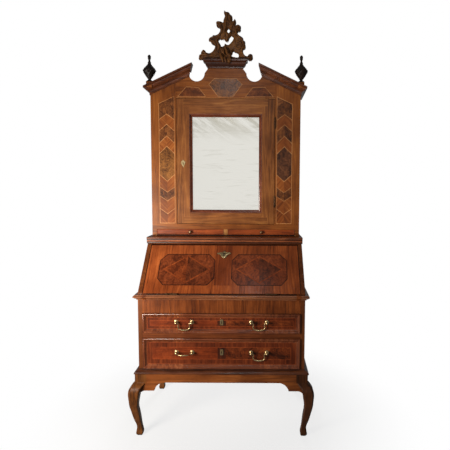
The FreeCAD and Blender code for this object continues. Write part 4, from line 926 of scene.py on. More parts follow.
def depth_in(x: float, y: float, edges: Sequence[tuple[Point, Point]]) -> float:
    """Gives how deep a point lies inside a clockwise outline.

    Args:
        x: Place across.
        y: Place up.
        edges: Sides of the outline.

    Returns:
        Distance from the nearest side, less than zero outside.
    """
    gaps = []
    for a, b in edges:
        run = Vector((b[0] - a[0], b[1] - a[1])).normalized()
        gaps.append((x - a[0]) * run.y - (y - a[1]) * run.x)
    return min(gaps)


@dataclass
class Cut:
    """A straight saw line on a sheet of veneer, from one point through another."""

    start: Point
    end: Point
    where: Test | None = None

    @classmethod
    def up(cls, x: float, where: Test | None = None) -> "Cut":
        """Gives an upright line at a place across."""
        return cls((x, 0), (x, 1), where)

    @classmethod
    def along(cls, y: float, where: Test | None = None) -> "Cut":
        """Gives a level line at a height."""
        return cls((0, y), (1, y), where)

    def saw(self, drop: bool) -> None:
        """Cuts the selected faces along the line.

        Args:
            drop: Whether what lies to the left of the line goes away.
        """
        run = Vector((self.end[0] - self.start[0], self.end[1] - self.start[1])).normalized()
        bpy.ops.mesh.bisect(plane_co=(self.start[0] * MM, self.start[1] * MM, 0.0),
                            plane_no=(-run.y, run.x, 0.0), clear_outer=drop, threshold=SAW_TOLERANCE)


@dataclass
class Veneer:
    """A sheet of veneer sawn from a plane into pieces of several woods, then laid on a face."""

    name: str
    outline: Sequence[Point]
    finishes: Sequence[WoodFinish]
    cuts: Sequence[Cut] = ()
    wood: Callable[[float, float], WoodFinish | None] | None = None
    thick: float = 0.4
    margin: float = 1.0

    def build(self, matrix: Matrix) -> Piece:
        """Saws the sheet and lays it.

        Args:
            matrix: From the sheet's own plane to the face that carries it.

        Returns:
            The finished sheet.
        """
        low = [min(p[i] for p in self.outline) - self.margin for i in (0, 1)]
        high = [max(p[i] for p in self.outline) + self.margin for i in (0, 1)]
        Bench.clear()
        bpy.ops.mesh.primitive_plane_add(size=1.0)
        obj = bpy.context.object
        obj.name = self.name
        obj.location = ((low[0] + high[0]) / 2 * MM, (low[1] + high[1]) / 2 * MM, 0.0)
        obj.scale = ((high[0] - low[0]) * MM, (high[1] - low[1]) * MM, 1.0)
        bpy.ops.object.transform_apply(location=True, rotation=True, scale=True)
        Bench.edit(obj)
        for a, b in sides(self.outline):
            bpy.ops.mesh.select_all(action="SELECT")
            Cut(a, b).saw(True)
        for cut in self.cuts:
            if cut.where is None:
                bpy.ops.mesh.select_all(action="SELECT")
            else:
                Bench.pick_faces(obj, lambda f: cut.where(*(f.calc_center_median() / MM).xy))
            cut.saw(False)
        mesh = bmesh.from_edit_mesh(obj.data)
        gone = []
        for face in mesh.faces:
            finish = self.wood(*(face.calc_center_median() / MM).xy) if self.wood else self.finishes[0]
            if finish is None:
                gone.append(face)
            else:
                face.material_index = self.finishes.index(finish)
        bmesh.ops.delete(mesh, geom=gone, context="FACES")
        bmesh.update_edit_mesh(obj.data)
        bpy.ops.object.mode_set(mode="OBJECT")
        Bench.dress(obj, *self.finishes)
        Bench.apply(obj, "SOLIDIFY", thickness=self.thick * MM, offset=1.0)
        Bench.settle(obj, matrix)
        return obj


@dataclass
class Strip:
    """A plain strip of veneer along the front of the cabinet."""

    name: str
    half: float
    low: float
    high: float
    finish: WoodFinish
    thick: float = 0.4

    def build(self) -> None:
        """Lays the strip on the case."""
        sheet = Veneer(self.name, rectangle(self.half, self.low, self.high), [self.finish], thick=self.thick)
        Bench.done(sheet.build(UPRIGHT_FACE), "case", "walnut")


@dataclass
class Pilasters:
    """The two inlaid pilasters of the cabinet."""

    outer: float = 426.0
    inner: float = 282.0
    panel_outer: float = 381.0
    panel_inner: float = 291.0
    base: float = 1097.0
    panel_base: float = 1101.0
    shoulder: float = 1845.0
    panel_shoulder: float = 1783.0
    slope: float = 0.469
    panel_slope: float = 0.467
    line: float = 2.8
    slant: float = 1.11
    rim_share: float = 0.9
    joint_share: float = 0.65
    peaks: tuple[Point, ...] = ((1724, 1692), (1667, 1628), (1602, 1559), (1543.5, 1500))
    dips: tuple[Point, ...] = ((1344, 1384), (1281, 1313), (1231, 1260), (1156, 1189))

    @property
    def middle(self) -> float:
        """Place of the left panel's middle joint across."""
        return -(self.panel_outer + self.panel_inner) / 2

    def top(self, x: float) -> float:
        """Height of the pilaster's slanted end at a place across."""
        return self.shoulder + (self.outer - abs(x)) * self.slope

    def panel_top(self, x: float) -> float:
        """Height of the panel's slanted end at a place across."""
        return self.panel_shoulder + (self.panel_outer - abs(x)) * self.panel_slope

    def chevron(self, level: Point, x: float) -> float:
        """Gives the height of a chevron line.

        Args:
            level: Its height at the middle and at the sides.
            x: Place across.

        Returns:
            The height there.
        """
        half = (self.panel_outer - self.panel_inner) / 2
        return level[0] + (level[1] - level[0]) * abs(x - self.middle) / half

    def inside(self, x: float, z: float) -> bool:
        """Whether a place lies in the left panel."""
        return -self.panel_outer < x < -self.panel_inner and self.panel_base < z < self.panel_top(x)

    def wood(self, x: float, z: float) -> WoodFinish:
        """Gives the wood of the left sheet: surround, string, or a band of either half.

        Args:
            x: Place across.
            z: Height.

        Returns:
            The finish.
        """
        if not self.inside(x, z):
            return WALNUT_UP
        rim = min(x + self.panel_outer, -self.panel_inner - x, z - self.panel_base,
                  (self.panel_top(x) - z) * self.rim_share)
        heights = [self.chevron(level, x) for level in self.peaks + self.dips]
        if rim < self.line or min(abs(z - h) for h in heights) < self.line * self.joint_share:
            return STRINGING
        root = ROOT_LEFT, ROOT_RIGHT
        bands = {0: root, 2: root, 4: (OLIVE_ROOT, OLIVE_ROOT), 6: root, 8: (RUSSET_LEFT, RUSSET_RIGHT)}
        left, right = bands.get(sum(z < h for h in heights), (AMBER_LEFT, AMBER_RIGHT))
        return left if x < self.middle else right

    def cuts(self) -> list[Cut]:
        """Gives the saw lines of the left sheet.

        Returns:
            Panel, string, middle joint and both edges of every chevron line.
        """
        outer, middle, inner = -self.panel_outer, self.middle, -self.panel_inner
        end = [(x, self.panel_top(x)) for x in (outer, inner)]
        lower_end = [(x, z - self.line * self.slant) for x, z in end]
        cuts = [Cut.up(outer), Cut.up(inner), Cut.along(self.panel_base), Cut(*end),
                Cut.up(outer + self.line, self.inside), Cut.up(inner - self.line, self.inside),
                Cut.along(self.panel_base + self.line, self.inside), Cut(*lower_end, self.inside),
                Cut.up(middle, self.inside)]
        halves = ((outer, middle, lambda x, z: self.inside(x, z) and x < middle),
                  (middle, inner, lambda x, z: self.inside(x, z) and x > middle))
        for level in self.peaks + self.dips:
            for a, b, half in halves:
                joint = (a, self.chevron(level, a)), (b, self.chevron(level, b))
                cuts += [Cut(*beside(*joint, width), half) for width in (-self.line / 2, self.line / 2)]
        return cuts

    def build(self) -> None:
        """Lays the left sheet and its mirrored fellow."""
        outline = [(-self.outer, self.base), (-self.outer, self.top(self.outer)),
                   (-self.inner, self.top(self.inner)), (-self.inner, self.base)]
        woods = [WALNUT_UP, STRINGING, ROOT_LEFT, ROOT_RIGHT, AMBER_LEFT, AMBER_RIGHT, OLIVE_ROOT,
                 RUSSET_LEFT, RUSSET_RIGHT]
        left = Veneer("pilaster_veneer_left", outline, woods, self.cuts(), self.wood).build(UPRIGHT_FACE)
        Bench.take(left)
        bpy.ops.object.duplicate()
        right = bpy.context.object
        right.name = "pilaster_veneer_right"
        right.data.materials[woods.index(OLIVE_ROOT)] = DUSKY_ROOT.material()
        right.scale = (-1.0, 1.0, 1.0)
        Bench.settle(right)
        Bench.edit(right)
        Bench.outward()
        for sheet in (left, right):
            Bench.done(sheet, "case", "walnut")


@dataclass
class DoorVeneer:
    """The door's veneered frame with its pale line."""

    half: float = 279.5
    low: float = 1099.5
    high: float = 1809.5
    open_half: float = 207.5
    open_low: float = 1163.5
    open_high: float = 1726.5
    band: float = 39.0
    line: float = 1.6

    def wood(self, x: float, z: float) -> WoodFinish | None:
        """Gives the wood at a place: stile, rail, line, or their outer bands.

        Args:
            x: Place across.
            z: Height.

        Returns:
            The finish, or none over the glass.
        """
        if abs(x) < self.open_half and self.open_low < z < self.open_high:
            return None
        level = min(z - self.low, self.high - z)
        rim = min(self.half - abs(x), level)
        if rim < self.band:
            return BAND_UP if abs(x) > self.half - self.band else BAND_ACROSS
        if rim < self.band + self.line:
            return FAINT_STRINGING
        upright = self.half - abs(x) < level or abs(x) > self.open_half
        return DOOR_STILE if upright else DOOR_RAIL

    def build(self) -> None:
        """Saws the frame's sheet and lays it on the door."""
        inner = self.band + self.line
        cuts = []
        for x in (self.open_half, self.half - self.band, self.half - inner):
            cuts += [Cut.up(x), Cut.up(-x)]
        cuts += [Cut.along(z) for z in (self.open_low, self.open_high, self.low + self.band, self.low + inner,
                                        self.high - self.band, self.high - inner)]
        woods = [DOOR_STILE, DOOR_RAIL, FAINT_STRINGING, BAND_UP, BAND_ACROSS]
        sheet = Veneer("door_veneer", rectangle(self.half, self.low, self.high), woods, cuts, self.wood)
        Bench.done(sheet.build(UPRIGHT_FACE), "door", "walnut")


@dataclass
class PedimentInlay:
    """Hexagon, two flat-topped panels and a base line let into the pediment board."""

    line: float = 2.6
    hexagon: tuple[Point, ...] = ((-42, 1819), (-96, 1891), (-64, 1924), (64, 1924), (96, 1891), (42, 1819))
    wing: tuple[Point, ...] = ((-274, 1821), (-223, 1877), (-152, 1873), (-110, 1821))
    root: tuple[Tone, ...] = ((166, 106, 56), (130, 80, 42), (84, 50, 27))

    def panel(self, name: str, outline: Sequence[Point], left: WoodFinish, right: WoodFinish) -> None:
        """Lays one panel with a string round it and a joint up its middle.

        Args:
            name: Name of the piece.
            outline: Corners, clockwise from the front.
            left: Wood of the left half.
            right: Wood of the right half.
        """
        middle = sum(p[0] for p in outline) / len(outline)
        edges = sides(outline)
        cuts = [Cut.up(middle)] + [Cut(*beside(a, b, self.line)) for a, b in edges]

        def wood(x: float, z: float) -> WoodFinish:
            """Gives the string at the rim, else the wood of the half."""
            return STRINGING if depth_in(x, z, edges) < self.line else left if x < middle else right

        sheet = Veneer(name, outline, list(dict.fromkeys((STRINGING, left, right))), cuts, wood)
        Bench.done(sheet.build(UPRIGHT_FACE), "case", "walnut")

    def build(self) -> None:
        """Lays the three panels and the base line."""
        halves = [WoodFinish(f"hexagon root {side}", *self.root, burl=1.0, tilt=tilt, rough=0.3, wear=0.0,
                             coat=0.07)
                  for side, tilt in (("left", 38.0), ("right", -38.0))]
        warm = WoodFinish("pediment wing veneer", (160, 92, 44), (124, 66, 32), (74, 38, 19), burl=0.6,
                          lay=Lay.ACROSS, wear=0.0)
        self.panel("pediment_hexagon", self.hexagon, *halves)
        self.panel("pediment_wing_left", self.wing, warm, warm)
        self.panel("pediment_wing_right", [(-x, z) for x, z in reversed(self.wing)], warm, warm)
        Strip("pediment_base_line", half=281.0, low=1813.0, high=1815.6, finish=STRINGING, thick=0.5).build()


@dataclass
class FriezeVeneer:
    """Upright-grained veneer over the frieze and over the edge above the upper drawer."""

    half: float = 412.8
    panel_half: float = 388.2
    low: float = 655.4
    ledge: float = 667.1
    high: float = 726.8

    def build(self) -> None:
        """Saws the sheet round the loper openings and lays it on the case."""
        cuts = [Cut.along(self.ledge), Cut.up(-self.panel_half), Cut.up(self.panel_half)]
        sheet = Veneer("frieze_veneer", rectangle(self.half, self.low, self.high), [WALNUT_FRIEZE], cuts,
                       lambda x, z: None if abs(x) > self.panel_half and z > self.ledge else WALNUT_FRIEZE)
        Bench.done(sheet.build(CARCASE_FACE), "case", "walnut")


@dataclass
class FallVeneer:
    """The slanted fall with its two chamfered panels and their lozenges."""

    half: float = 412.2
    start: float = 0.5
    length: float = 304.0
    centre: float = 196.0
    panel_half: float = 151.0
    panel_low: float = 47.6
    panel_high: float = 242.6
    chamfer_x: float = 35.0
    chamfer_y: float = 40.0
    lozenge_half: float = 129.0
    lozenge_low: float = 60.0
    lozenge_high: float = 233.0
    line: float = 4.4
    band: float = 6.5
    # Width of the dark rim along the fall's top and sides: painted shade of the gap round the fall.
    edge: float = 3.6
    strip: float = 44.8

    def octagon(self, c: float) -> list[Point]:
        """Gives the corners of a panel, clockwise.

        Args:
            c: Place of its middle across.

        Returns:
            The eight corners.
        """
        low, high, x, y = self.panel_low, self.panel_high, self.chamfer_x, self.chamfer_y
        left, right = c - self.panel_half, c + self.panel_half
        return [(left + x, low), (left, low + y), (left, high - y), (left + x, high),
                (right - x, high), (right, high - y), (right, low + y), (right - x, low)]

    def lozenge(self, c: float) -> list[Point]:
        """Corners of a lozenge with its middle at a place across, clockwise."""
        middle, half = (self.lozenge_low + self.lozenge_high) / 2, self.lozenge_half
        return [(c, self.lozenge_low), (c - half, middle), (c, self.lozenge_high), (c + half, middle)]

    def wood(self, x: float, y: float) -> WoodFinish:
        """Gives the wood at a place: surround, with its right half, centre strip and rim in painted shade,
        line, corner, lozenge band or lozenge.

        Args:
            x: Place across.
            y: Place up the slope.

        Returns:
            The finish.
        """
        c = -self.centre if x < 0 else self.centre
        rim = depth_in(x, y, sides(self.octagon(c)))
        if rim < 0:
            # Dark rim at the top and sides: painted shade of the gap round the fall.
            if min(self.half - abs(x), self.length - y) < self.edge:
                return DARK_STRING_AND_SHADE
            # The centre strip and the right half take darker copies of the red slope: painted shade.
            if abs(x) < self.strip and y > self.panel_low:
                return RED_CENTRE_SHADE
            return RED_SLOPE if x < 0 else RED_SHADED
        if rim < self.line:
            return DARK_STRING_AND_SHADE
        middle = depth_in(x, y, sides(self.lozenge(c)))
        if middle < 0:
            return FALL_CORNER
        if middle < self.band:
            return FALL_BAND
        return FALL_ROOT if x < c else FALL_DUSK

    def build(self) -> None:
        """Saws the whole face with both panels and lays it on the fall."""
        cuts = [Cut.up(0), Cut.along(self.length - self.edge)]
        cuts += [Cut.up(x) for x in (self.edge - self.half, self.half - self.edge, -self.strip, self.strip)]
        cuts.append(Cut.along(self.panel_low, lambda x, y: abs(x) < self.strip))
        for c, own in ((-self.centre, lambda x, y: x < 0), (self.centre, lambda x, y: x > 0)):
            cuts.append(Cut.up(c, own))
            for corners, width in ((self.octagon(c), self.line), (self.lozenge(c), self.band)):
                for a, b in sides(corners):
                    cuts += [Cut(a, b, own), Cut(*beside(a, b, width), own)]
        sheet = Veneer("fall_veneer", rectangle(self.half, self.start, self.length),
                       [RED_SLOPE, DARK_STRING_AND_SHADE, FALL_CORNER, FALL_BAND, FALL_ROOT, FALL_DUSK, RED_SHADED,
                        RED_CENTRE_SHADE],
                       cuts, self.wood)
        Bench.done(sheet.build(SLOPED_FACE), "fall", "red_walnut")


@dataclass
class Cartouche:
    """The cast brass plate round the fall's keyhole."""

    place: float = 240.0
    lift: float = 1.6
    thick: float = 1.4
    rim: tuple[Point, ...] = ((1.0, 0.6), (1.0, -0.7))
    half: tuple[Point, ...] = ((0, 24.5), (3, 21.5), (4, 18), (8, 17), (11.5, 13.5), (16, 12), (21, 13.5),
                               (26.5, 12.5), (31, 8.5), (36.5, 9.5), (38.5, 5.5), (35, 1.5), (29, 1.5),
                               (23.5, -0.5), (19, -4.5), (18, -10), (15, -15), (10, -17.5), (6.5, -20.5),
                               (4, -24), (0, -25.5))
    keyhole: tuple[Point, ...] = ((0, 9), (3.2, 8.2), (5, 5.5), (4.8, 2.4), (2.9, 0), (2.4, -4), (3.6, -11),
                                  (0, -11.6))
    shade_grow: Point = (1.25, 1.15)
    shade_lift: float = 0.15
    shade_thick: float = 0.5
    cutter_thick: float = 6.0

    def plate(self, name: str, half: Sequence[Point], lift: float, thick: float, rim: Sequence[Point] = ()
              ) -> Piece:
        """Shapes a disc to an even outline, and gives it its thickness and rim.

        Args:
            name: Name of the object.
            half: Right half of the outline, from top to bottom.
            lift: Height of its back over the fall.
            thick: Thickness.
            rim: Width and rise of each inset of its front.

        Returns:
            The plate.
        """
        outline = list(half) + [(-x, y) for x, y in reversed(half[1:-1])]
        obj = Bench.disc(name, len(outline), radius=0.02)
        for v, (x, y) in zip(obj.data.vertices, reversed(outline)):
            v.co = Vector((x, y + self.place, lift)) * MM
        Bench.edit(obj)
        bpy.ops.mesh.normals_make_consistent(inside=False)
        bpy.ops.mesh.extrude_region_move(TRANSFORM_OT_translate={"value": (0.0, 0.0, thick * MM)})
        for width, rise in rim:
            bpy.ops.mesh.inset(thickness=width * MM, depth=rise * MM)
        Bench.outward()
        return obj

    def build(self) -> None:
        """Casts the plate with a raised rim, cuts its keyhole and lays a shade behind the hole."""
        obj = self.plate("fall_cartouche", self.half, self.lift, self.thick, self.rim)
        cutter = self.plate("keyhole_cutter", self.keyhole, 0.0, self.cutter_thick)
        Bench.apply(obj, "BOOLEAN", operation="DIFFERENCE", object=cutter, solver="EXACT")
        bpy.data.objects.remove(cutter)
        grow_x, grow_y = self.shade_grow
        shade = self.plate("fall_keyhole_shade", [(x * grow_x, y * grow_y) for x, y in self.keyhole],
                           self.lift + self.shade_lift, self.shade_thick)
        Bench.smooth(obj, degrees=35.0)
        for piece, finish in ((shade, KEYHOLE), (obj, BRASS)):
            Bench.dress(piece, finish)
            Bench.settle(piece, SLOPED_FACE)
            Bench.done(piece, "fall", "brass")


@dataclass
class DrawerFront:
    """A long drawer's front with its raised, mitred moulding and banded field."""

    name: str
    low: float
    high: float
    band: float
    half: float = 412.0
    # Half width of the dark band round the lock: a painted dark reflection.
    patch: float = 22.0
    line: float = 2.0
    proud: float = 4.0
    deep: float = 20.0
    behind: float = 9.0
    flat: float = -0.9
    steep: float = -0.3
    field_area: float = 0.002
    steps: tuple[Point, ...] = ((0.8, 2.0), (1.2, 1.6), (2.0, 0.9), (2.4, 0.1), (1.6, -0.7), (2.2, -1.9),
                                (2.6, -2.6), (2.8, -2.4), (2.8, -1.5), (2.4, -0.6), (1.6, -0.1), (0.6, -0.8))

    def wood(self, x: float, inner: float) -> WoodFinish:
        """Gives the wood at a place: moulding, line, band, the painted dark reflection round the lock, or
        either half of the field.

        Args:
            x: Place across.
            inner: Distance from the nearest edge of the front.

        Returns:
            The finish.
        """
        field = inner - sum(w for w, _ in self.steps)
        if field < 0:
            return RED_MOULDED
        if field < self.line or 0 < field - self.line - self.band < self.line:
            return RED_STRINGING
        if field < self.line + self.band:
            return DRAWER_BAND
        # Painted dark reflection down the middle.
        if abs(x) < self.patch:
            return DRAWER_DARK_REFLECTION
        return DRAWER_FIGURE if x < 0 else DRAWER_ROOT

    def build(self) -> None:
        """Raises the moulding by insets on a board and dresses its rings."""
        obj = Bench.block(f"{self.name}_moulded_front", (-self.half, CARCASE_FRONT - self.proud, self.low),
                          (self.half, CARCASE_FRONT + self.deep, self.high))
        Bench.mould(obj, self.steps + ((self.line, 0.0), (self.band, 0.0), (self.line, 0.0)))
        for x in (-self.patch, 0.0, self.patch):
            Bench.pick_faces(obj, lambda f: f.normal.y < self.flat and f.calc_area() > self.field_area)
            bpy.ops.mesh.bisect(plane_co=(x * MM, 0.0, 0.0), plane_no=(1.0, 0.0, 0.0),
                                threshold=SAW_TOLERANCE)
        woods = (RED_MOULDED, RED_STRINGING, DRAWER_BAND, DRAWER_FIGURE, DRAWER_ROOT, DRAWER_DARK_REFLECTION)
        mesh = bmesh.from_edit_mesh(obj.data)
        for face in mesh.faces:
            c = face.calc_center_median() / MM
            outer = face.normal.y > self.steep and abs(c.y - CARCASE_FRONT) > self.behind
            inner = min(self.half - abs(c.x), c.z - self.low, self.high - c.z)
            face.material_index = woods.index(RED_MOULDED if outer else self.wood(c.x, inner))
        bmesh.update_edit_mesh(obj.data)
        bpy.ops.object.mode_set(mode="OBJECT")
        Bench.dress(obj, *woods)
        Bench.smooth(obj, degrees=38.0)
        Bench.done(obj, self.name, "red_walnut", f"{self.name}_front")


@dataclass
class Bail:
    """A swan-neck bail handle, cast thicker at its middle."""

    row: str
    side: str
    centre: float
    height: float
    swing: float = 0.0
    wire: float = 3.0
    ahead: float = 12.0
    path: tuple[Place, ...] = ((40.4, 0.0, 0.85), (34.5, 0.4, 0.9), (30.4, 3.4, 1.0), (28.6, 10.0, 0.95),
                               (30.0, 18.0, 0.9), (29.6, 26.0, 0.95), (25.0, 33.5, 1.05), (15.5, 37.4, 1.25),
                               (6.5, 38.8, 1.45), (0.0, 39.2, 1.5))

    def build(self) -> None:
        """Draws the half path and its mirror as a round bar, turned about its posts."""
        body = f"bail_{self.row}_{self.side}"
        turn = math.radians(self.swing)
        whole = list(self.path) + [(-x, d, r) for x, d, r in reversed(self.path[:-1])]
        bends = [(Vector((self.centre + x, CARCASE_FRONT - self.ahead - drop * math.sin(turn),
                          self.height - drop * math.cos(turn))), share) for x, drop, share in whole]
        obj = Bench.tube(f"{body}_bail", bends, self.wire, rings=4, steps=8)
        Bench.smooth(obj, degrees=50.0)
        Bench.dress(obj, BRASS)
        Bench.done(obj, body, "brass", f"drawer_{self.row}_bail_{self.side}")


@dataclass
class SmallDrawerFront:
    """The beaded front of a shallow drawer under the cabinet."""

    name: str
    left: float
    right: float
    low: float = 1035.6
    high: float = 1066.4
    proud: float = 1.0
    deep: float = 0.5
    steps: tuple[Point, ...] = ((0.7, 1.0), (0.9, 0.4), (0.9, -0.4), (0.7, -1.0))

    def build(self) -> None:
        """Insets a bead round a thin board and lays it on the drawer."""
        obj = Bench.block(f"{self.name}_beaded_front", (self.left, CABINET_FRONT - self.proud, self.low),
                          (self.right, CABINET_FRONT + self.deep, self.high))
        Bench.mould(obj, self.steps)
        bpy.ops.object.mode_set(mode="OBJECT")
        Bench.smooth(obj, degrees=50.0)
        Bench.dress(obj, SMALL_VENEER)
        Bench.done(obj, self.name, "red_walnut")


@dataclass
class NosingRun:
    """One run along the front of the desk top's nosing: the bead, coloured lighter as a painted highlight, or
    a dark quirk, which is painted shade.
    """

    name: str
    low: float
    high: float
    front: float
    soft: float
    finish: WoodFinish
    half: float = 438.4
    behind: float = -43.0

    def build(self) -> None:
        """Rounds a bar and lays it along the nosing."""
        obj = Bench.block(self.name, (-self.half, self.front, self.low), (self.half, self.behind, self.high))
        Bench.apply(obj, "BEVEL", width=self.soft * MM, segments=4)
        Bench.smooth(obj, degrees=40.0)
        Bench.dress(obj, self.finish)
        Bench.done(obj, "case", "walnut")


@dataclass
class DoorKeyhole:
    """The dark inside of the door's keyhole."""

    centre: Point = (-243.5, 1445.5)
    half: Point = (3.6, 7.5)
    depth: Point = (28.8, 29.8)
    soft: float = 0.2

    def build(self) -> None:
        """Sets a softened block behind the slot of the plate."""
        (x, z), (w, h), (front, back) = self.centre, self.half, self.depth
        obj = Bench.block("door_keyhole_shade", (x - w, front, z - h), (x + w, back, z + h))
        Bench.apply(obj, "BEVEL", width=self.soft * MM, segments=2)
        Bench.dress(obj, KEYHOLE)
        Bench.done(obj, "door", "brass")


@dataclass
class Crest:
    """The pierced carved crest, rounded from its flat blank and laid with raised leaf stems."""

    front: float = 16.0
    middle: float = 35.0
    foot: float = 2025.5
    hang_front: float = 2.0
    slack: float = 1.0
    kept: Place = (0.45, 0.28, 0.5)
    width: float = 302.0 / 308.0
    height: float = 263.0 / 269.0
    voxel: float = 2.2
    wall: float = 0.45
    round_off: float = 15.0
    ripple: Place = (0.9, 1.15, 6.0)
    cap_half: float = 40.0
    cap_top: Point = (-2.0, 14.0)
    cap_ahead: Point = (22.0, 16.0)
    stems: tuple[tuple[Place, ...], ...] = (
        ((-22, 44, 3), (-46, 26, 4.5), (-82, 19, 5.5), (-116, 24, 6), (-138, 22, 5), (-146, 12, 4),
         (-140, 7, 3.5)),
        ((-96, 28, 3), (-114, 33, 4.5), (-128, 40, 4.5), (-125, 47, 3.5), (-119, 44, 3)),
        ((-40, 26, 3), (-52, 48, 4.5), (-53, 74, 5), (-64, 94, 5.5), (-80, 106, 4.5), (-90, 107, 2)),
        ((-88, 116, 2), (-70, 118, 5), (-46, 126, 5.5), (-26, 142, 5.5), (-20, 164, 5.5), (-26, 186, 5.5),
         (-36, 202, 5), (-46, 202, 4.5), (-46, 193, 4), (-40, 193, 4)),
        ((0, 122, 3), (-4, 150, 5), (0, 182, 6), (4, 212, 6), (8, 236, 5), (4, 254, 3.5), (-6, 266, 1.5)),
        ((10, 180, 3), (20, 206, 4), (28, 226, 4), (24, 244, 2)),
        ((32, 140, 3), (34, 166, 5), (42, 192, 5), (52, 212, 4), (55, 221, 1.5)),
        ((40, 138, 3), (56, 158, 5), (66, 172, 5), (76, 183, 4.5), (82, 175, 4.5), (76, 167, 4.5),
         (70, 172, 3.5)),
        ((58, 160, 3), (62, 142, 5), (78, 124, 5.5), (95, 104, 5.5), (102, 84, 5.5), (96, 62, 5), (92, 44, 5),
         (100, 22, 5.5), (120, 10, 6), (142, 8, 6), (149, 18, 5), (142, 24, 4.5), (136, 18, 4)),
        ((52, 100, 3), (68, 98, 4.5), (86, 90, 5), (90, 72, 5), (78, 58, 5), (62, 64, 4.5), (64, 78, 4),
         (74, 76, 4)),
        ((-26, 70, 2), (-24, 50, 4.5), (-10, 28, 6), (8, 8, 6), (19, -12, 5), (20, -31, 2)),
        ((-2, 84, 2), (0, 62, 5), (6, 36, 6), (16, 12, 5.5), (20, -8, 4)),
        ((16, 78, 2), (14, 54, 5), (18, 30, 5), (24, 10, 4.5), (22, -14, 3)),
        ((-36, 66, 2), (-33, 46, 5.5), (-27, 26, 7.5), (-19, 6, 8), (-14, -12, 7), (-10, -27, 3)),
        ((-12, 60, 2), (-11, 38, 6.5), (-7, 16, 7.5), (0, -6, 7.5), (6, -26, 4)))

    def carved(self, y: float, z: float, near: float) -> float:
        """Gives the depth that a place on the blank has once it is rounded.

        Args:
            y: Depth on the blank.
            z: Height.
            near: Distance from the nearest edge.

        Returns:
            The new depth.
        """
        swell = math.sqrt(max(0.0, 1.0 - (1.0 - min(near / self.round_off, 1.0)) ** 2))
        hang, ahead, behind = (least + (1.0 - least) * swell for least in self.kept)
        if y < self.front - self.slack:
            base = self.hang_front if z < self.foot else self.front
            return base + (y - base) * hang
        if y < self.middle:
            rise, pace, start = self.ripple
            ripple = rise * math.sin(near * pace) * min(near / start, 1.0)
            return self.middle + (y - self.middle) * ahead - ripple
        return self.middle + (y - self.middle) * behind

    def body(self) -> None:
        """Remeshes a copy of the blank and rounds its faces towards every edge."""
        obj = bpy.data.objects.new("crest_leafwork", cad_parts["crest_carving"].data.copy())
        bpy.context.scene.collection.objects.link(obj)
        Bench.edit(obj)
        bpy.ops.mesh.remove_doubles(threshold=MERGE_DISTANCE)
        Bench.clear()
        Bench.apply(obj, "REMESH", mode="VOXEL", voxel_size=self.voxel * MM)
        walls = [v.co for v in obj.data.vertices if abs(v.normal.y) < self.wall]
        tree = kdtree.KDTree(len(walls))
        for i, co in enumerate(walls):
            tree.insert((co.x, 0.0, co.z), i)
        tree.balance()
        for v in obj.data.vertices:
            near = tree.find((v.co.x, 0.0, v.co.z))[2] / MM
            v.co.y = self.carved(v.co.y / MM, v.co.z / MM, near) * MM
        Bench.apply(obj, "SMOOTH", factor=0.5, iterations=3)
        Bench.smooth(obj, degrees=70.0)
        Bench.dress(obj, CARVED)
        Bench.done(obj, "case", "carved_wood", "crest_carving")

    def bend(self, x: float, z: float) -> Vector:
        """Gives a place on the front of the carving, further ahead where it hangs over the cap.

        Args:
            x: Place across, in the crest's own width.
            z: Place up, in the crest's own height.

        Returns:
            The place in millimetres.
        """
        low, high = self.cap_top
        ahead = 0.0
        if z < low:
            ahead = self.cap_ahead[0]
        elif z < high and abs(x) < self.cap_half:
            ahead = self.cap_ahead[1]
        return Vector((x * self.width, self.front - ahead, self.foot + z * self.height))

    def build(self) -> None:
        """Carves the body and lays the tapering stems on its front."""
        self.body()
        for index, path in enumerate(self.stems):
            bends = [(self.bend(x, z), thick) for x, z, thick in path]
            obj = Bench.tube(f"crest_stem_{index:02d}", bends, thick=1.0, rings=3, steps=10)
            Bench.smooth(obj, degrees=60.0)
            Bench.dress(obj, CARVED)
            Bench.done(obj, "case", "carved_wood")


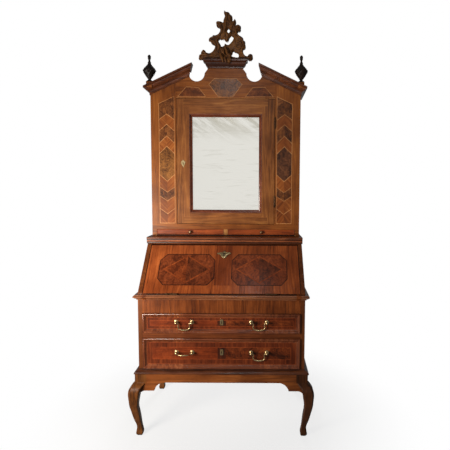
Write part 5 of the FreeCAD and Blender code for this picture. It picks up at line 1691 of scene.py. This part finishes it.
@dataclass
class Finials:
    """The two ebonised turned finials, their bulbs cut like a pine cone."""

    place: float = 426.0
    depth: float = 21.0
    plinth_half: float = 17.0
    plinth_low: float = 1866.0
    plinth_high: float = 1899.0
    plinth_soft: float = 1.5
    corners: int = 48
    bulb: Point = (20.0, 96.0)
    fade: float = 8.0
    scales: float = 6.0
    twist: float = 0.15
    rise: float = 0.10
    sink: float = 0.085
    profile: tuple[Point, ...] = (
        (17.0, 0.0), (19.0, 1.5), (19.0, 4.0), (15.0, 6.5), (10.0, 9.0), (8.4, 12.0), (8.8, 16.0),
        (12.5, 19.0), (16.0, 24.0), (21.0, 31.0), (27.0, 40.0), (33.0, 50.0), (36.6, 57.0), (37.6, 61.0),
        (36.4, 65.0), (32.0, 71.0), (26.0, 78.0), (19.0, 86.0), (13.0, 93.0), (9.4, 98.0), (8.2, 102.0),
        (9.6, 105.0), (9.2, 107.5), (6.4, 110.0), (5.2, 116.0), (5.4, 122.0), (8.4, 125.0), (8.8, 127.0),
        (7.4, 129.0), (8.8, 133.0), (9.4, 138.0), (7.8, 143.5), (4.0, 147.8), (1.4, 149.4))

    def spindle(self, name: str, x: float) -> None:
        """Draws up the turning ring by ring from a disc and cuts the bulb.

        Args:
            name: Name of the piece.
            x: Place across.
        """
        centre = (x * MM, self.depth * MM, self.plinth_high * MM)
        obj = Bench.disc(name, self.corners, self.profile[0][0] * MM, centre)
        Bench.edit(obj)
        for (r0, z0), (r1, z1) in zip(self.profile, self.profile[1:]):
            bpy.ops.mesh.extrude_region_move(TRANSFORM_OT_translate={"value": (0.0, 0.0, (z1 - z0) * MM)})
            bpy.ops.transform.resize(value=(r1 / r0, r1 / r0, 1.0), center_override=centre)
        Bench.outward()
        Bench.apply(obj, "SUBSURF", levels=1, render_levels=1)
        low, high = self.bulb
        for v in obj.data.vertices:
            height = v.co.z / MM - self.plinth_high
            if low < height < high:
                dx, dy = v.co.x - centre[0], v.co.y - centre[1]
                turn, lean = self.scales * math.atan2(dy, dx), height * self.twist
                scale = abs(math.sin(turn + lean) * math.sin(turn - lean))
                fade = min((height - low) / self.fade, (high - height) / self.fade, 1.0)
                grow = 1.0 + fade * (self.rise * scale - self.sink)
                v.co.x, v.co.y = centre[0] + dx * grow, centre[1] + dy * grow
        Bench.smooth(obj, degrees=60.0)
        Bench.dress(obj, EBONISED)
        Bench.done(obj, "case", "ebonised", "finials")

    def plinth(self, name: str, x: float) -> None:
        """Cuts the square block under a finial and softens its edges.

        Args:
            name: Name of the piece.
            x: Place across.
        """
        h = self.plinth_half
        obj = Bench.block(name, (x - h, self.depth - h, self.plinth_low),
                          (x + h, self.depth + h, self.plinth_high))
        Bench.apply(obj, "BEVEL", width=self.plinth_soft * MM, segments=3)
        Bench.smooth(obj, degrees=40.0)
        Bench.dress(obj, WALNUT_UP)
        Bench.done(obj, "case", "walnut")

    def build(self) -> None:
        """Makes both finials with their plinths."""
        for side, x in (("left", -self.place), ("right", self.place)):
            self.spindle(f"finial_{side}", x)
            self.plinth(f"finial_plinth_{side}", x)


@dataclass
class FrameDressing:
    """Finishes of the pieces that stay as the frame has them."""

    finishes: ClassVar[dict[Finish, tuple[str, ...]]] = {
        WALNUT_UP: ("pilasters",),
        WALNUT_SIDE: ("carcase_side_left", "carcase_side_right", "cabinet_sides"),
        WALNUT_ACROSS: ("cabinet_rails", "pediment_board", "desk_top"),
        WALNUT_MOULDED: ("raking_cornices", "desk_top_moulding"),
        # These take the darker copy of the moulding: painted shade.
        SHADED_MOULDED: ("base_moulding", "pedestal_cap"),
        # The waist moulding's lighter colour is a painted highlight.
        RED_NOSING_HIGHLIT: ("waist_moulding",),
        WALNUT_LEG: ("leg_front_left", "leg_back_left"),
        # The right legs take the darker copy: painted shade.
        SHADED_LEG: ("leg_front_right", "leg_back_right"),
        WALNUT_APRON: ("apron_rails", "knee_brackets"),
        WALNUT_FRAMED: ("door_frame",),
        WALNUT_FRIEZE: ("frieze_panel", "loper_left", "loper_right"),
        SIGHT: ("door_moulding",),
        RED_SLOPE: ("fall_board",),
        RAIL: ("front_rails",),
        # The desk floor is dark as painted shade in the gap under the fall.
        SHADED_DESK_LINING: ("desk_floor",),
        PINE: ("carcase_bottom", "well_box", "well_cover", "cabinet_boards", "drawer_upper_box",
               "drawer_lower_box", "gallery_frame", "gallery_drawer_left", "gallery_drawer_right",
               "small_drawer_left", "small_drawer_right"),
        PINE_UP: ("back_boards", "mirror_backboard"),
        PINE_DEEP: ("drawer_runners",),
        BRASS: ("drawer_upper_fittings", "drawer_lower_fittings", "door_lock", "fall_lock"),
        DARK_BRASS: ("small_knob_left", "small_knob_right"),
        IRON: ("door_lock_bolt", "fall_lock_bolt", "door_hinge_leaves", "hinge_leaves_fixed",
               "fall_hinge_leaves"),
        MIRROR: ("mirror_glass",),
    }

    def build(self) -> None:
        """Puts each finish into the slots of its nodes."""
        for finish, names in self.finishes.items():
            for name in names:
                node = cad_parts[name]
                if not node.material_slots:
                    node.data.materials.append(None)
                for place in node.material_slots:
                    place.material = finish.material()
            log.info("%s on %d nodes", finish.name, len(names))


@dataclass(frozen=True)
class Lamp:
    """A soft light, by its place, its aim and its size in metres, its watts and its beam in degrees."""

    name: str
    place: Place
    aim: Place
    size: Point
    watts: float
    tone: Tone = (255, 255, 255)
    spread: float = 180.0

    def hang(self) -> None:
        """Hangs the light."""
        data = bpy.data.lights.new(self.name, "AREA")
        data.spread = math.radians(self.spread)
        data.shape, (data.size, data.size_y) = "RECTANGLE", self.size
        data.energy, data.color = self.watts, tint(self.tone)[:3]
        obj = bpy.data.objects.new(self.name, data)
        bpy.context.scene.collection.objects.link(obj)
        look = (Vector(self.aim) - Vector(self.place)).to_track_quat("-Z", "Y").to_matrix().to_4x4()
        obj.matrix_world = Matrix.Translation(Vector(self.place)) @ look


@dataclass
class Studio:
    """Pale floor, soft lights and the camera of the photograph."""

    eye: Place = (0.189, -2.298, 1.301)
    pitch: float = -4.52
    roll: float = 0.29
    lens: float = 32.2
    sensor: float = 36.0
    shift: Point = (-0.074, -0.009)
    floor_radius: float = 3.2
    floor_corners: int = 96
    floor_drop: float = 0.0005
    backdrop_light: float = 0.06
    backdrop_gloss: float = 0.16
    lamps: tuple[Lamp, ...] = (
        Lamp("key", (-1.25, -1.4, 0.9), (-0.75, -0.1, 0.8), (0.6, 0.7), 21.0, (255, 246, 234), 115.0),
        Lamp("flash", (-0.12, -2.3, 2.46), (0.0, 0.0, 1.1), (0.25, 0.25), 2.6),
        Lamp("ceiling", (0.14, -0.84, 2.35), (0.14, -0.2, 0.7), (0.2, 0.12), 0.8),
        Lamp("card", (-0.095, -4.2, 1.7), (-0.095, 0.0, 1.4), (1.99, 1.9), 8.6),
        Lamp("rear", (0.0, 2.6, 1.6), (0.0, 0.3, 1.1), (0.6, 1.4), 12.0, spread=100.0))

    def camera(self) -> None:
        """Sets up the camera."""
        data = bpy.data.cameras.new("camera")
        data.lens, data.sensor_width = self.lens, self.sensor
        data.shift_x, data.shift_y = self.shift
        obj = bpy.data.objects.new("camera", data)
        bpy.context.scene.collection.objects.link(obj)
        pitch = Matrix.Rotation(math.radians(90 + self.pitch), 4, "X")
        roll = Matrix.Rotation(math.radians(self.roll), 4, "Z")
        obj.matrix_world = Matrix.Translation(Vector(self.eye)) @ (pitch @ roll)
        bpy.context.scene.camera = obj

    def world(self) -> None:
        """Makes a white backdrop that lights gently."""
        world = bpy.data.worlds.new("backdrop")
        bpy.context.scene.world = world
        world.use_nodes = True
        world.node_tree.nodes.clear()
        g = Graph(world.node_tree)
        path = g.add("LightPath").outputs
        gentle = g.ease(path["Is Glossy Ray"], 0.0, 1.0, self.backdrop_light, self.backdrop_gloss)
        strength = g.math("MAXIMUM", gentle, path["Is Camera Ray"])
        sky = g.add("Background", {"Color": (1.0, 1.0, 1.0, 1.0), "Strength": strength})
        g.add("OutputWorld", {"Surface": sky.outputs[0]})

    def floor(self) -> None:
        """Lays a round pale floor that fades into the backdrop."""
        obj = Bench.disc("studio_floor", self.floor_corners, self.floor_radius, (0.0, 0.0, -self.floor_drop))
        Bench.dress(obj, FloorFinish("pale floor"))

    def build(self) -> None:
        """Sets the floor, lights and camera."""
        self.floor()
        self.world()
        for lamp in self.lamps:
            lamp.hang()
        self.camera()
        bpy.context.scene.view_settings.view_transform = "Standard"
        log.info("studio")


def main() -> None:
    """Builds every sub-assembly in order."""
    bails = [Bail(row, side, centre, height, swing=95.0 if (row, side) == ("lower", "left") else 0.0)
             for row, height in (("upper", 608.0), ("lower", 446.0))
             for side, centre in (("left", -195.0), ("right", 195.0))]
    parts = [FrameDressing(), Pilasters(), DoorVeneer(), PedimentInlay(), FriezeVeneer(), FallVeneer(),
             Cartouche(), DrawerFront("drawer_upper", low=548.0, high=654.0, band=12.0),
             DrawerFront("drawer_lower", low=358.0, high=522.0, band=24.0), *bails,
             SmallDrawerFront("small_drawer_left", left=-399.5, right=-12.5),
             SmallDrawerFront("small_drawer_right", left=12.5, right=399.5),
             Strip("divider_veneer", half=11.5, low=1034.5, high=1067.5, finish=DIVIDER),
             # The dark quirks of the nosing are painted shade, the bead's lighter colour a painted highlight.
             NosingRun("nosing_quirk_low_painted_shade", low=995.8, high=1001.4, front=-45.5, soft=0.3, finish=DARK_STRING_AND_SHADE),
             NosingRun("nosing_bead", low=1006.2, high=1012.6, front=-48.6, soft=2.0, finish=LIT_BEAD),
             NosingRun("nosing_quirk_high_painted_shade", low=1012.8, high=1017.2, front=-47.0, soft=0.3, finish=DARK_STRING_AND_SHADE),
             # The dark lipping under the shallow drawers is painted shade.
             Strip("cabinet_lipping_painted_shade", half=400.0, low=1029.2, high=1034.8, finish=DARK_STRING_AND_SHADE),
             DoorKeyhole(), Crest(), Finials(), Studio()]
    for part in parts:
        part.build()
    Bench.clear()


if __name__ == "__main__":
    main()
